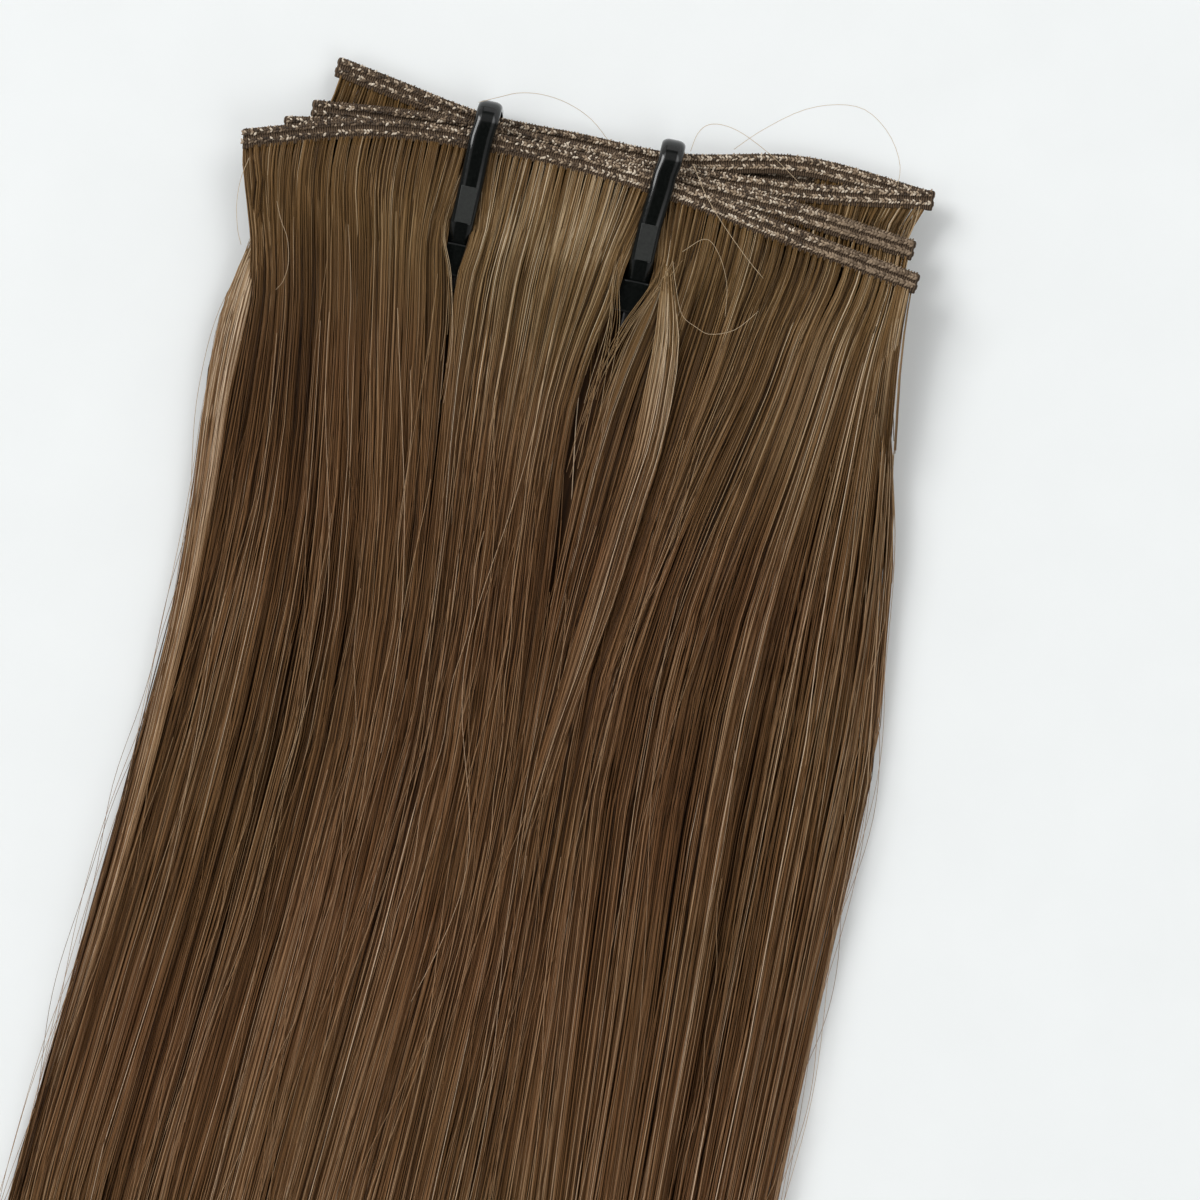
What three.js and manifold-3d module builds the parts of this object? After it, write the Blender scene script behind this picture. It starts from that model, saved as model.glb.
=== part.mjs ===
// A weft hair extension as it is packed: one long sewn band folded to and fro into a flat stack, the
// straight hair that hangs from every pass of it, and two cable ties that hold the stack together.
// Millimetres, +Z up. The piece lies on a table: X runs along the band, +Y points from the hair to the
// band, and the origin is under the middle of its box.
import * as THREE from "three";
import { mergeVertices } from "three/addons/utils/BufferGeometryUtils.js";
import Module from "manifold-3d";

const wasm = await Module();
wasm.setup();

// Driving dimensions of the sewn band and of the stack that its passes make
const AIR = 0.3;
const BAND_HEIGHT = 3.0;
const BAND_THICKNESS = 0.7;
const BAND_EDGE = 0.2;
const PASS_PITCH = BAND_THICKNESS + AIR;
const STRAP_THICKNESS = 1.2;
const STACK_BOTTOM = STRAP_THICKNESS + AIR;
const BOW_LEFT_X = -30;
const BOW_RIGHT_X = 34;
const TIE_LEFT_X = -14.9;
const TIE_RIGHT_X = 13.4;
const STEPS_PER_PASS = 12;
const STEPS_PER_FOLD = 4;

// Where the band starts, turns and ends, in plan, from the top of the stack to the table
const TURNS = [
  { side: "left", x: -49.6, y: -8.7 },
  { side: "right", x: 53.6, y: -9.1 },
  { side: "left", x: -43.5, y: -5.3 },
  { side: "right", x: 52.2, y: -4.1 },
  { side: "left", x: -40.1, y: -1.8 },
  { side: "right", x: 53.4, y: 4.1 },
  { side: "left", x: -38.0, y: 5.5 },
  { side: "right", x: 49.0, y: 2.8 },
  { side: "left", x: -35.0, y: 1.6 },
];

// How each pass bows between its turns: the band's middle line at five places along X
const PASSES = [
  { bowLeft: -3.5, tieLeft: -1.7, middle: -1.8, tieRight: -2.9, bowRight: -6.6 },
  { bowLeft: -3.4, tieLeft: -1.6, middle: -1.7, tieRight: -2.7, bowRight: -6.2 },
  { bowLeft: -3.1, tieLeft: -1.4, middle: -1.4, tieRight: -1.8, bowRight: -3.2 },
  { bowLeft: -0.9, tieLeft: -0.1, middle: -0.2, tieRight: -0.8, bowRight: -2.4 },
  { bowLeft: -0.5, tieLeft: 0.3, middle: 0.2, tieRight: 0.0, bowRight: 0.7 },
  { bowLeft: 4.1, tieLeft: 1.7, middle: 1.7, tieRight: 1.7, bowRight: 5.3 },
  { bowLeft: 3.7, tieLeft: 1.45, middle: 1.5, tieRight: 1.45, bowRight: 4.3 },
  { bowLeft: 1.0, tieLeft: 0.3, middle: 0.5, tieRight: 0.3, bowRight: 1.7 },
];
const STACK_TOP = STACK_BOTTOM + PASSES.length * PASS_PITCH - AIR;

// Cable tie: a strap round the stack that runs into a square head among the hair
const STRAP_WIDTH = 3.6;
const STRAP_EDGE = 0.35;
const STRAP_BEND = 3.0;
const STRAP_TOP_BEND = 1.6;
const STRAP_TOP_Y = 4.15;
const HEAD = { width: 5.6, depth: 5.0, height: 5.0, middleY: -19.8, bottom: 2.9, edge: 0.6 };
const STRAP_FRONT = [
  { y: -8.7, z: STACK_TOP + AIR + 0.6 },
  { y: -14.4, z: 9.4 },
  { y: -17.6, z: 6.6 },
  { y: -24.4, z: 5.2 },
];

// The fall of hair, a row for each section from the band to the last full one before the tips
const HAIR_SECTIONS = [
  { y: -14, left: -47.6, right: 53.4, bottom: 1.6, top: 8.5 },
  { y: -24, left: -47.0, right: 54.6, bottom: 1.5, top: 8.7 },
  { y: -34, left: -48.6, right: 57.1, bottom: 0.8, top: 9.2 },
  { y: -46, left: -48.7, right: 60.1, bottom: 0, top: 9.6 },
  { y: -62, left: -47.5, right: 62.3, bottom: 0, top: 9.6 },
  { y: -80, left: -47.0, right: 63.9, bottom: 0, top: 9.4 },
  { y: -117, left: -48.9, right: 63.7, bottom: 0, top: 8.9 },
  { y: -170, left: -52.3, right: 62.6, bottom: 0, top: 8.2 },
  { y: -230, left: -53.6, right: 60.4, bottom: 0, top: 7.3 },
  { y: -300, left: -52.8, right: 57.4, bottom: 0, top: 6.0 },
  { y: -350, left: -51.0, right: 54.6, bottom: 0, top: 4.6 },
  { y: -374, left: -49.4, right: 53.0, bottom: 0, top: 2.8 },
];
const LOCKS_ACROSS = 18;
const LOCK_DEPTH = 0.9;
const LOCK_UNEVEN = 0.2;
const EDGE_ROUNDNESS = 5;
const CURTAIN_THICKNESS = 0.6;
const CURTAIN_FOOT_Y = -20;
const TIP_ROOT_Y = -330;
const TIP_END_Y = -396;
const TIP_STAGGER = 4.5;
const TIP_SIDES = 6;

// Loose locks that lie on top of the fall: places along their length, and their size in the middle
const LOOSE_LOCKS = [
  {
    width: 4.2,
    thickness: 1.8,
    along: [
      { x: 17.2, y: -17, z: 7.6 },
      { x: 18.2, y: -32, z: 9.2 },
      { x: 18.6, y: -52, z: 9.6 },
      { x: 17.6, y: -80, z: 9.2 },
      { x: 15.6, y: -120, z: 7.6 },
    ],
  },
  {
    width: 4.6,
    thickness: 2.4,
    along: [
      { x: -43.6, y: -21, z: 4.6 },
      { x: -45.8, y: -35, z: 5.4 },
      { x: -45.9, y: -60, z: 5.6 },
      { x: -44.6, y: -95, z: 4.6 },
      { x: -43.4, y: -135, z: 3.2 },
    ],
  },
];

// Partings round the tie heads: half width at places along Y, before AIR is added
const PARTING = [
  { y: -9.5, half: 0 },
  { y: -14, half: 2.1 },
  { y: -16.5, half: 2.9 },
  { y: -24.8, half: 2.9 },
  { y: -29, half: 1.5 },
  { y: -37, half: 0 },
];

// A closed solid through rings of points that all have the same count
function loft(rings) {
  const count = rings[0].length;
  const position = rings.flat().flatMap((p) => [p.x, p.y, p.z]);
  const index = [];
  for (let r = 0; r + 1 < rings.length; r++) {
    for (let i = 0; i < count; i++) {
      const a = r * count + i;
      const b = r * count + ((i + 1) % count);
      index.push(a, b, a + count, b, b + count, a + count);
    }
  }
  capRing(rings[0], 0, true, index);
  capRing(rings.at(-1), (rings.length - 1) * count, false, index);
  const geometry = new THREE.BufferGeometry();
  geometry.setAttribute("position", new THREE.Float32BufferAttribute(position, 3));
  geometry.setIndex(index);
  return geometry;
}

// Fills one end of a loft, seen in the plane that the ring spans
function capRing(ring, first, isStart, index) {
  const across = ring[Math.floor(ring.length / 2)].clone().sub(ring[0]).normalize();
  const normal = new THREE.Vector3();
  ring.forEach((p, i) => normal.add(p.clone().cross(ring[(i + 1) % ring.length])));
  const up = normal.normalize().clone().cross(across);
  const flat = ring.map((p) => new THREE.Vector2(p.dot(across), p.dot(up)));
  for (const [a, b, c] of THREE.ShapeUtils.triangulateShape(flat, [])) {
    index.push(first + a, ...(isStart ? [first + c, first + b] : [first + b, first + c]));
  }
}

function solidOf(geometry) {
  const bare = geometry.clone();
  bare.deleteAttribute("normal");
  bare.deleteAttribute("uv");
  const merged = mergeVertices(bare);
  const vertProperties = merged.attributes.position.array;
  const triVerts = new Uint32Array(merged.index.array);
  return new wasm.Manifold(new wasm.Mesh({ numProp: 3, vertProperties, triVerts }));
}

function geometryOf(solid) {
  const { vertProperties, triVerts } = solid.getMesh();
  const geometry = new THREE.BufferGeometry();
  geometry.setAttribute("position", new THREE.BufferAttribute(vertProperties, 3));
  geometry.setIndex(new THREE.BufferAttribute(triVerts, 1));
  geometry.computeVertexNormals();
  return geometry;
}

// A flat strip's section, its long edges cut off at the corners, anticlockwise
function stripSection(width, thickness, edge) {
  const w = width / 2;
  const t = thickness / 2;
  return [
    [w, t - edge], [w - edge, t], [edge - w, t], [-w, t - edge],
    [-w, edge - t], [edge - w, -t], [w - edge, -t], [w, edge - t],
  ];
}

// Plan line of one pass of the band, always from left to right
function passLine(k) {
  const ends = [TURNS[k], TURNS[k + 1]];
  const left = ends.find((turn) => turn.side === "left");
  const right = ends.find((turn) => turn.side === "right");
  const bow = PASSES[k];
  return new THREE.CatmullRomCurve3([
    new THREE.Vector3(left.x, left.y, 0),
    new THREE.Vector3(BOW_LEFT_X, bow.bowLeft, 0),
    new THREE.Vector3(TIE_LEFT_X, bow.tieLeft, 0),
    new THREE.Vector3(0, bow.middle, 0),
    new THREE.Vector3(TIE_RIGHT_X, bow.tieRight, 0),
    new THREE.Vector3(BOW_RIGHT_X, bow.bowRight, 0),
    new THREE.Vector3(right.x, right.y, 0),
  ]);
}

function passHeight(k) {
  return STACK_TOP - BAND_THICKNESS / 2 - k * PASS_PITCH;
}

// Stations along the whole folded band: a point, the way up the band, and the way out of its face
function bandStations() {
  const stations = [];
  PASSES.forEach((_, k) => {
    const line = passLine(k);
    const forward = TURNS[k].side === "left";
    for (let i = 0; i <= STEPS_PER_PASS; i++) {
      const t = forward ? i / STEPS_PER_PASS : 1 - i / STEPS_PER_PASS;
      const along = line.getTangentAt(t);
      const point = line.getPointAt(t).setZ(passHeight(k));
      const up = new THREE.Vector3(-along.y, along.x, 0);
      stations.push({ point, up, out: new THREE.Vector3(0, 0, forward ? 1 : -1) });
    }
    if (k + 1 < PASSES.length) stations.push(...foldStations(stations.at(-1), k));
  });
  return stations;
}

// The half turn that joins pass k to the one below it
function foldStations(last, k) {
  const outward = TURNS[k + 1].side === "right" ? 1 : -1;
  const radius = PASS_PITCH / 2;
  const next = passLine(k + 1).getTangentAt(outward > 0 ? 1 : 0);
  const nextUp = new THREE.Vector3(-next.y, next.x, 0);
  const stations = [];
  for (let i = 1; i < STEPS_PER_FOLD; i++) {
    const turn = (Math.PI * i) / STEPS_PER_FOLD;
    const up = last.up.clone().lerp(nextUp, i / STEPS_PER_FOLD).normalize();
    const sideways = new THREE.Vector3(up.y, -up.x, 0).multiplyScalar(outward);
    const point = last.point.clone().addScaledVector(sideways, radius * Math.sin(turn));
    point.z += radius * (Math.cos(turn) - 1);
    const out = sideways.multiplyScalar(Math.sin(turn)).setZ(Math.cos(turn));
    stations.push({ point, up, out: out.multiplyScalar(outward) });
  }
  return stations;
}

function weftBand() {
  const section = stripSection(BAND_HEIGHT, BAND_THICKNESS, BAND_EDGE);
  const rings = bandStations().map(({ point, up, out }) =>
    section.map(([u, v]) => point.clone().addScaledVector(up, u).addScaledVector(out, v)),
  );
  return loft(rings);
}

// The strap's middle line in the YZ plane: out of the head, along the table, over the band and back in
function strapLine() {
  const low = STRAP_THICKNESS / 2;
  const high = STACK_TOP + AIR + STRAP_THICKNESS / 2;
  const bendY = STRAP_TOP_Y - STRAP_BEND;
  const path = new THREE.Path();
  path.moveTo(HEAD.middleY, HEAD.bottom + 1);
  path.lineTo(HEAD.middleY, low + STRAP_BEND);
  path.absarc(HEAD.middleY + STRAP_BEND, low + STRAP_BEND, STRAP_BEND, Math.PI, 1.5 * Math.PI);
  path.lineTo(bendY, low);
  path.absarc(bendY, low + STRAP_BEND, STRAP_BEND, -Math.PI / 2, 0);
  path.lineTo(STRAP_TOP_Y, high - STRAP_TOP_BEND);
  path.absarc(STRAP_TOP_Y - STRAP_TOP_BEND, high - STRAP_TOP_BEND, STRAP_TOP_BEND, 0, Math.PI / 2);
  STRAP_FRONT.forEach(({ y, z }) => path.lineTo(y, z));
  return path.getPoints(6).filter((p, i, all) => i === 0 || p.distanceTo(all[i - 1]) > 0.05);
}

function tie(x) {
  const line = strapLine();
  const section = stripSection(STRAP_WIDTH, STRAP_THICKNESS, STRAP_EDGE);
  const rings = line.map((p, i) => {
    const before = line[Math.max(i - 1, 0)];
    const after = line[Math.min(i + 1, line.length - 1)];
    const along = after.clone().sub(before).normalize();
    return section.map(
      ([u, v]) => new THREE.Vector3(x + u, p.x + v * along.y, p.y - v * along.x),
    );
  });
  const strap = solidOf(loft(rings));
  return geometryOf(strap.add(tieHead(x)));
}

function tieHead(x) {
  const { width, depth, height, middleY, bottom, edge } = HEAD;
  const outline = stripSection(width, depth, edge);
  const ring = (z, inset) =>
    outline.map(([u, v]) => {
      const shrink = 1 - (2 * inset) / width;
      return new THREE.Vector3(x + u * shrink, middleY + v * shrink, z);
    });
  const top = bottom + height;
  return solidOf(loft([ring(bottom, 0), ring(top - edge, 0), ring(top, edge)]));
}

// Where the locks meet across the fall, as a share of its width, a little uneven
function lockEdge(i) {
  const wobble = i % LOCKS_ACROSS === 0 ? 0 : LOCK_UNEVEN * Math.sin(2.4 * i);
  return (i + wobble) / LOCKS_ACROSS;
}

// How full the fall is at a share of its width: 1 in the middle, 0 at its two edges
function fullness(share) {
  return (1 - Math.abs(2 * share - 1) ** EDGE_ROUNDNESS) ** (1 / 2);
}

function hairRing({ y, left, right, bottom, top }) {
  const width = right - left;
  const floorInset = 3 / width;
  const crown = [];
  for (let i = 0; i < LOCKS_ACROSS; i++) {
    for (const part of [0, 0.3, 0.7]) {
      const share = THREE.MathUtils.lerp(lockEdge(i), lockEdge(i + 1), part);
      const groove = part === 0 ? LOCK_DEPTH * Math.min(1, top / 8) : 0;
      const middle = bottom + 0.35 * (top - bottom);
      const z = Math.max(middle, middle + fullness(share) * (top - middle) - groove);
      crown.push(new THREE.Vector3(left + share * width, y, i + part === 0 ? middle : z));
    }
  }
  crown.push(new THREE.Vector3(right, y, bottom + 0.35 * (top - bottom)));
  const under = [1 - floorInset, floorInset].map(
    (share) => new THREE.Vector3(left + share * width, y, bottom),
  );
  return [...crown, ...under].reverse();
}

// The fall's box at any place along it, read between two rows of the table
function fallAt(y) {
  const rows = HAIR_SECTIONS;
  const i = Math.max(1, rows.findIndex((row, k) => k > 0 && row.y <= y));
  const before = rows[i - 1];
  const share = (y - before.y) / (rows[i].y - before.y);
  const blend = (key) => THREE.MathUtils.lerp(before[key], rows[i][key], share);
  return { y, left: blend("left"), right: blend("right"), bottom: blend("bottom"), top: blend("top") };
}

// Hair between one pass of the band and the fall, a thin curtain at that pass's own height
function curtain(k) {
  const line = passLine(k);
  const foot = fallAt(CURTAIN_FOOT_Y);
  const start = line.getPointAt(0).x;
  const reach = line.getPointAt(1).x - start;
  const half = CURTAIN_THICKNESS / 2;
  const level = (passHeight(k) - STACK_BOTTOM) / (STACK_TOP - STACK_BOTTOM);
  const footZ = THREE.MathUtils.lerp(foot.bottom + 0.4, foot.top - 0.8, level);
  const rings = [];
  for (let i = 0; i <= STEPS_PER_PASS; i++) {
    const p = line.getPointAt(i / STEPS_PER_PASS);
    const footX = THREE.MathUtils.lerp(foot.left + 3, foot.right - 3, (p.x - start) / reach);
    const rootY = p.y - BAND_HEIGHT / 2 - AIR;
    rings.push([
      new THREE.Vector3(p.x, rootY, passHeight(k) - half),
      new THREE.Vector3(p.x, rootY, passHeight(k) + half),
      new THREE.Vector3(footX, CURTAIN_FOOT_Y, footZ + half),
      new THREE.Vector3(footX, CURTAIN_FOOT_Y, footZ - half),
    ]);
  }
  return solidOf(loft(rings));
}

// A single lock: an oval tube through stations that each give a centre and a half width and height
function lock(stations, sides) {
  const rings = stations.map(({ x, y, z, halfWidth, halfHeight }) =>
    Array.from({ length: sides }, (_, i) => {
      const turn = (2 * Math.PI * i) / sides;
      return new THREE.Vector3(x + halfWidth * Math.cos(turn), y, z + halfHeight * Math.sin(turn));
    }),
  );
  return solidOf(loft(rings));
}

// The tapered end of one lock, a little longer or shorter than its neighbours
function tip(i) {
  const share = (lockEdge(i) + lockEdge(i + 1)) / 2;
  const root = fallAt(TIP_ROOT_Y);
  const width = root.right - root.left;
  const endY = TIP_END_Y + TIP_STAGGER * Math.sin(5.3 * i + 1);
  const stations = [0, 0.45, 0.8, 1].map((t) => {
    const squeeze = 1 - 0.08 * t;
    const middle = (root.left + root.right) / 2;
    return {
      x: middle + (share - 0.5) * width * squeeze,
      y: THREE.MathUtils.lerp(TIP_ROOT_Y, endY, t),
      z: THREE.MathUtils.lerp(2.1, 0.8, t),
      halfWidth: (width / LOCKS_ACROSS) * THREE.MathUtils.lerp(0.64, 0.22, t ** 3),
      halfHeight: THREE.MathUtils.lerp(1.9, 0.5, t),
    };
  });
  return lock(stations, TIP_SIDES);
}

function looseLock({ width, thickness, along }) {
  const last = along.length - 1;
  const stations = along.map(({ x, y, z }, i) => {
    const swell = 0.45 + 0.55 * Math.sin((Math.PI * (i + 0.5)) / (last + 1));
    return { x, y, z, halfWidth: (swell * width) / 2, halfHeight: (swell * thickness) / 2 };
  });
  return lock(stations, 8);
}

// The slot that a tie head pushes open in the hair, right through from top to bottom
function parting(x) {
  const right = PARTING.map(({ y, half }) => new THREE.Vector2(x + half + AIR, y));
  const left = PARTING.map(({ y, half }) => new THREE.Vector2(x - half - AIR, y)).reverse();
  const shape = new THREE.Shape([...right, ...left]);
  const depth = 2 * STACK_TOP;
  const slot = new THREE.ExtrudeGeometry(shape, { depth, bevelEnabled: false });
  return solidOf(slot.translate(0, 0, -depth / 4));
}

function hairFall() {
  const fall = solidOf(loft(HAIR_SECTIONS.map(hairRing)));
  const curtains = PASSES.map((_, k) => curtain(k));
  const tips = Array.from({ length: LOCKS_ACROSS }, (_, i) => tip(i));
  const loose = LOOSE_LOCKS.map(looseLock);
  const whole = wasm.Manifold.union([fall, ...curtains, ...tips, ...loose]);
  return geometryOf(whole.subtract(parting(TIE_LEFT_X)).subtract(parting(TIE_RIGHT_X)));
}

const weftThread = new THREE.MeshStandardMaterial({ color: 0x5b4a3e, roughness: 0.75 });
const brownHair = new THREE.MeshStandardMaterial({ color: 0x6b4f35, roughness: 0.45 });
const blackNylon = new THREE.MeshStandardMaterial({ color: 0x0d0e0e, roughness: 0.25 });

function piece(name, geometry, material) {
  const mesh = new THREE.Mesh(geometry, material);
  mesh.name = name;
  return mesh;
}

const extension = new THREE.Group();
extension.add(piece("weft_band", weftBand(), weftThread));
extension.add(piece("hair_fall", hairFall(), brownHair));
extension.add(piece("tie_left", tie(TIE_LEFT_X), blackNylon));
extension.add(piece("tie_right", tie(TIE_RIGHT_X), blackNylon));

const box = new THREE.Box3().setFromObject(extension);
const middle = box.getCenter(new THREE.Vector3());
extension.position.set(-middle.x, -middle.y, -box.min.z);

export default extension;
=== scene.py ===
import math
from types import SimpleNamespace

import bpy
import numpy as np
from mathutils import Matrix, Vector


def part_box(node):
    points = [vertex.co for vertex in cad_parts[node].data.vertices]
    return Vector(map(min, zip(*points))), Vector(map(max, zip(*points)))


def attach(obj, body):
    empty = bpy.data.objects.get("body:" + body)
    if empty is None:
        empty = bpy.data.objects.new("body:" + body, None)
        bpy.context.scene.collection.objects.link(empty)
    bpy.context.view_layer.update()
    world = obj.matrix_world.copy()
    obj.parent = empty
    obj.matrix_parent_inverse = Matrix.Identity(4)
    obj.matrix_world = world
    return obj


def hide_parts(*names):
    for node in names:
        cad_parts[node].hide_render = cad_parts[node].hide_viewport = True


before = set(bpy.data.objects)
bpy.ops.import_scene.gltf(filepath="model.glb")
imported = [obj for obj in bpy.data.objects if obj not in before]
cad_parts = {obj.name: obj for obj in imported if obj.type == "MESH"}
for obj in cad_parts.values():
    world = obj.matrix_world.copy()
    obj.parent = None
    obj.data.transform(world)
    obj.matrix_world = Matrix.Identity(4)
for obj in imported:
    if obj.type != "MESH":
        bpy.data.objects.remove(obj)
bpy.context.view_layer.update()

# Camera
# The piece lies on a table and is seen straight from above, turned a little, with the sewn band at the
# top of the picture and the hair running out at its lower edge. Places are in millimetres from the
# middle of the band, X along it and Y up from the hair.
MM = 0.001
TIE_LEFT_X = -14.9
TIE_RIGHT_X = 13.4
STRAP_OUTER_Y = 4.75
tie_low, tie_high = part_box("tie_left")
origin_x = (tie_low.x + tie_high.x) / 2 / MM - TIE_LEFT_X
origin_y = tie_high.y / MM - STRAP_OUTER_Y


def placed(x, y, z):
    """Metres in the part's frame, from millimetres measured from the middle of the band."""
    return np.stack(np.broadcast_arrays(x + origin_x, y + origin_y, z), axis=-1) * MM


VIEW_WIDTH = 180
VIEW_MIDDLE = (17.1, -65.4)
VIEW_TURN = math.radians(11.9)
LENS = 100
SENSOR = 36
STACK_TOP_Z = 9.2
camera_z = STACK_TOP_Z + VIEW_WIDTH * LENS / SENSOR
bpy.ops.object.camera_add(location=placed(*VIEW_MIDDLE, camera_z), rotation=(0, 0, VIEW_TURN))
camera = bpy.context.object
camera.data.lens = LENS
camera.data.sensor_width = SENSOR
camera.data.clip_start = 0.01
bpy.context.scene.camera = camera

# Weft band
# A machine-sewn strip about 3 mm high that holds the roots of the hair in rows of brown thread. It is
# one long strip, folded to and fro into eight passes that lie on top of each other.
BAND_HEIGHT = 3.0
BAND_THICKNESS = 0.7
PASS_PITCH = 1.0
TOP_PASS_Z = STACK_TOP_Z - BAND_THICKNESS / 2
STEPS_ALONG_PASS = 100
STEPS_ROUND_FOLD = 8

# The passes from the top of the stack down: left end, middle line at the stops, right end
PASS_STOPS = (-30, TIE_LEFT_X, 0, TIE_RIGHT_X, 34)
PASSES = [
    dict(left=(-49.6, -8.7), line=(-3.05, -1.7, -1.8, -2.9, -6.25), right=(53.3, -9.1)),
    dict(left=(-43.5, -5.3), line=(-3.0, -1.6, -1.7, -2.7, -5.9), right=(53.3, -9.1)),
    dict(left=(-43.5, -5.3), line=(-3.1, -1.4, -1.4, -1.7, -2.5), right=(51.9, -4.1)),
    dict(left=(-40.1, -1.8), line=(-0.9, -0.1, -0.2, -0.8, -2.0), right=(51.9, -4.1)),
    dict(left=(-40.1, -1.8), line=(-0.5, 0.3, 0.2, 0.0, 1.2), right=(53.4, 4.1)),
    dict(left=(-38.0, 5.5), line=(4.1, 1.7, 1.7, 1.7, 5.3), right=(53.4, 4.1)),
    dict(left=(-38.0, 5.5), line=(3.7, 1.45, 1.5, 1.45, 4.3), right=(49.0, 2.8)),
    dict(left=(-35.0, 1.6), line=(1.0, 0.3, 0.5, 0.3, 1.7), right=(49.0, 2.8)),
]


def smooth(stops, values, at):
    """Reads a smooth curve through a table at rising stops. values may hold a row for each row of at."""
    stops = np.asarray(stops, float)
    values = np.asarray(values, float)
    slopes = np.gradient(values, stops, axis=-1)
    at = np.clip(at, stops[0], stops[-1])
    i = np.clip(np.searchsorted(stops, at) - 1, 0, len(stops) - 2)
    span = stops[i + 1] - stops[i]
    t = (at - stops[i]) / span

    def pick(table, index):
        return table[index] if table.ndim == 1 else np.take_along_axis(table, index, axis=-1)

    start = pick(values, i) * (1 + 2 * t) + pick(slopes, i) * span * t
    end = pick(values, i + 1) * (3 - 2 * t) - pick(slopes, i + 1) * span * (1 - t)
    return start * (1 - t) ** 2 + end * t**2


def pass_middle(k, x):
    row = PASSES[k]
    stops = (row["left"][0], *PASS_STOPS, row["right"][0])
    return smooth(stops, (row["left"][1], *row["line"], row["right"][1]), x)


def pass_z(k):
    return TOP_PASS_Z - k * PASS_PITCH


def pass_frame(k, x):
    """Points on a pass's middle line at x, and the ways along it and up its face."""
    y = pass_middle(k, x)
    slope = (pass_middle(k, x + 0.1) - pass_middle(k, x - 0.1)) / 0.2
    length = np.hypot(1, slope)
    flat = np.zeros_like(x)
    along = np.stack([1 / length, slope / length, flat], axis=-1)
    up = np.stack([-slope / length, 1 / length, flat], axis=-1)
    return np.stack([x, y, flat + pass_z(k)], axis=-1), along, up


def folded_band():
    """Points along the whole folded strip, with the ways up its face and out of it."""
    points, ups, outs = [], [], []
    for k, row in enumerate(PASSES):
        rightward = k % 2 == 0
        x = np.linspace(row["left"][0], row["right"][0], STEPS_ALONG_PASS)
        point, along, up = pass_frame(k, x if rightward else x[::-1])
        side = 1 if rightward else -1
        points.append(point)
        ups.append(up)
        outs.append(np.tile([0.0, 0.0, side], (len(x), 1)))
        if k + 1 == len(PASSES):
            break
        turn = np.linspace(0, np.pi, STEPS_ROUND_FOLD + 2)[1:-1, None]
        sideways = along[-1] * side
        radius = PASS_PITCH / 2
        drop = np.array([0, 0, -1]) * radius * (1 - np.cos(turn))
        points.append(point[-1] + sideways * radius * np.sin(turn) + drop)
        ups.append(np.tile(up[-1], (len(turn), 1)))
        outs.append((sideways * np.sin(turn) + np.array([0, 0, 1]) * np.cos(turn)) * side)
    return np.concatenate(points), np.concatenate(ups), np.concatenate(outs)


def mesh_piece(name, corners, faces, node):
    """A piece from arrays: corners in metres and faces as rows of corner numbers, by count."""
    counts = np.concatenate([np.full(len(rows), rows.shape[1]) for rows in faces])
    loops = np.concatenate([rows.ravel() for rows in faces])
    mesh = bpy.data.meshes.new(name)
    mesh.vertices.add(len(corners))
    mesh.vertices.foreach_set("co", corners.astype(np.float32).ravel())
    mesh.loops.add(len(loops))
    mesh.loops.foreach_set("vertex_index", loops.astype(np.int32))
    mesh.polygons.add(len(counts))
    mesh.polygons.foreach_set("loop_start", (np.cumsum(counts) - counts).astype(np.int32))
    mesh.polygons.foreach_set("use_smooth", np.ones(len(counts), bool))
    mesh.update(calc_edges=True)
    mesh.validate()
    piece = bpy.data.objects.new(name, mesh)
    bpy.context.collection.objects.link(piece)
    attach(piece, "root")
    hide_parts(node)
    return piece


def lay_out(piece, map_name, places):
    layer = piece.data.uv_layers.new(name=map_name)
    layer.data.foreach_set("uv", places.astype(np.float32).ravel())


def corner_list(points):
    """Corners in metres, as one list, from rows of points in millimetres."""
    return placed(points[..., 0], points[..., 1], points[..., 2]).reshape(-1, 3)


def ring_corners(rings, sides):
    """Ring and side of each face corner of a tube, face by face, along it and then round it."""
    ring, side = np.meshgrid(np.arange(rings - 1), np.arange(sides), indexing="ij")
    corner_ring = np.stack([ring, ring, ring + 1, ring + 1], axis=-1).reshape(-1)
    corner_side = np.stack([side, side + 1, side + 1, side], axis=-1).reshape(-1)
    return corner_ring, corner_side


def ring_faces(rings, sides):
    """Faces of a tube of rings, as quads. The side after the last one is the first again."""
    corner_ring, corner_side = ring_corners(rings, sides)
    return (corner_ring * sides + corner_side % sides).reshape(-1, 4)


def end_caps(rings, sides):
    """The two faces that close the ends of a tube of rings."""
    ends = np.arange(sides)
    return np.stack([ends[::-1], ends + (rings - 1) * sides])


# Section of the strip, up its face and out of it: two raised ropes of thread, a groove between them
# and a flat border below
BAND_PROFILE = [
    (1.5, 0.0), (1.42, 0.18), (1.1, 0.3), (0.6, 0.3), (0.3, 0.14), (0.0, 0.14), (-0.25, 0.3),
    (-0.75, 0.3), (-1.05, 0.14), (-1.4, 0.14), (-1.5, 0.06),
]
section = np.array(BAND_PROFILE + [(u, -v) for u, v in BAND_PROFILE[:0:-1]])
points, ups, outs = folded_band()
rings = (
    points[:, None]
    + section[None, :, :1] * ups[:, None]
    + section[None, :, 1:] * outs[:, None]
)
tube = (len(points), len(section))
faces = [ring_faces(*tube), end_caps(*tube)]
weft_strip = mesh_piece("weft_strip", corner_list(rings), faces, "weft_band")

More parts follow.
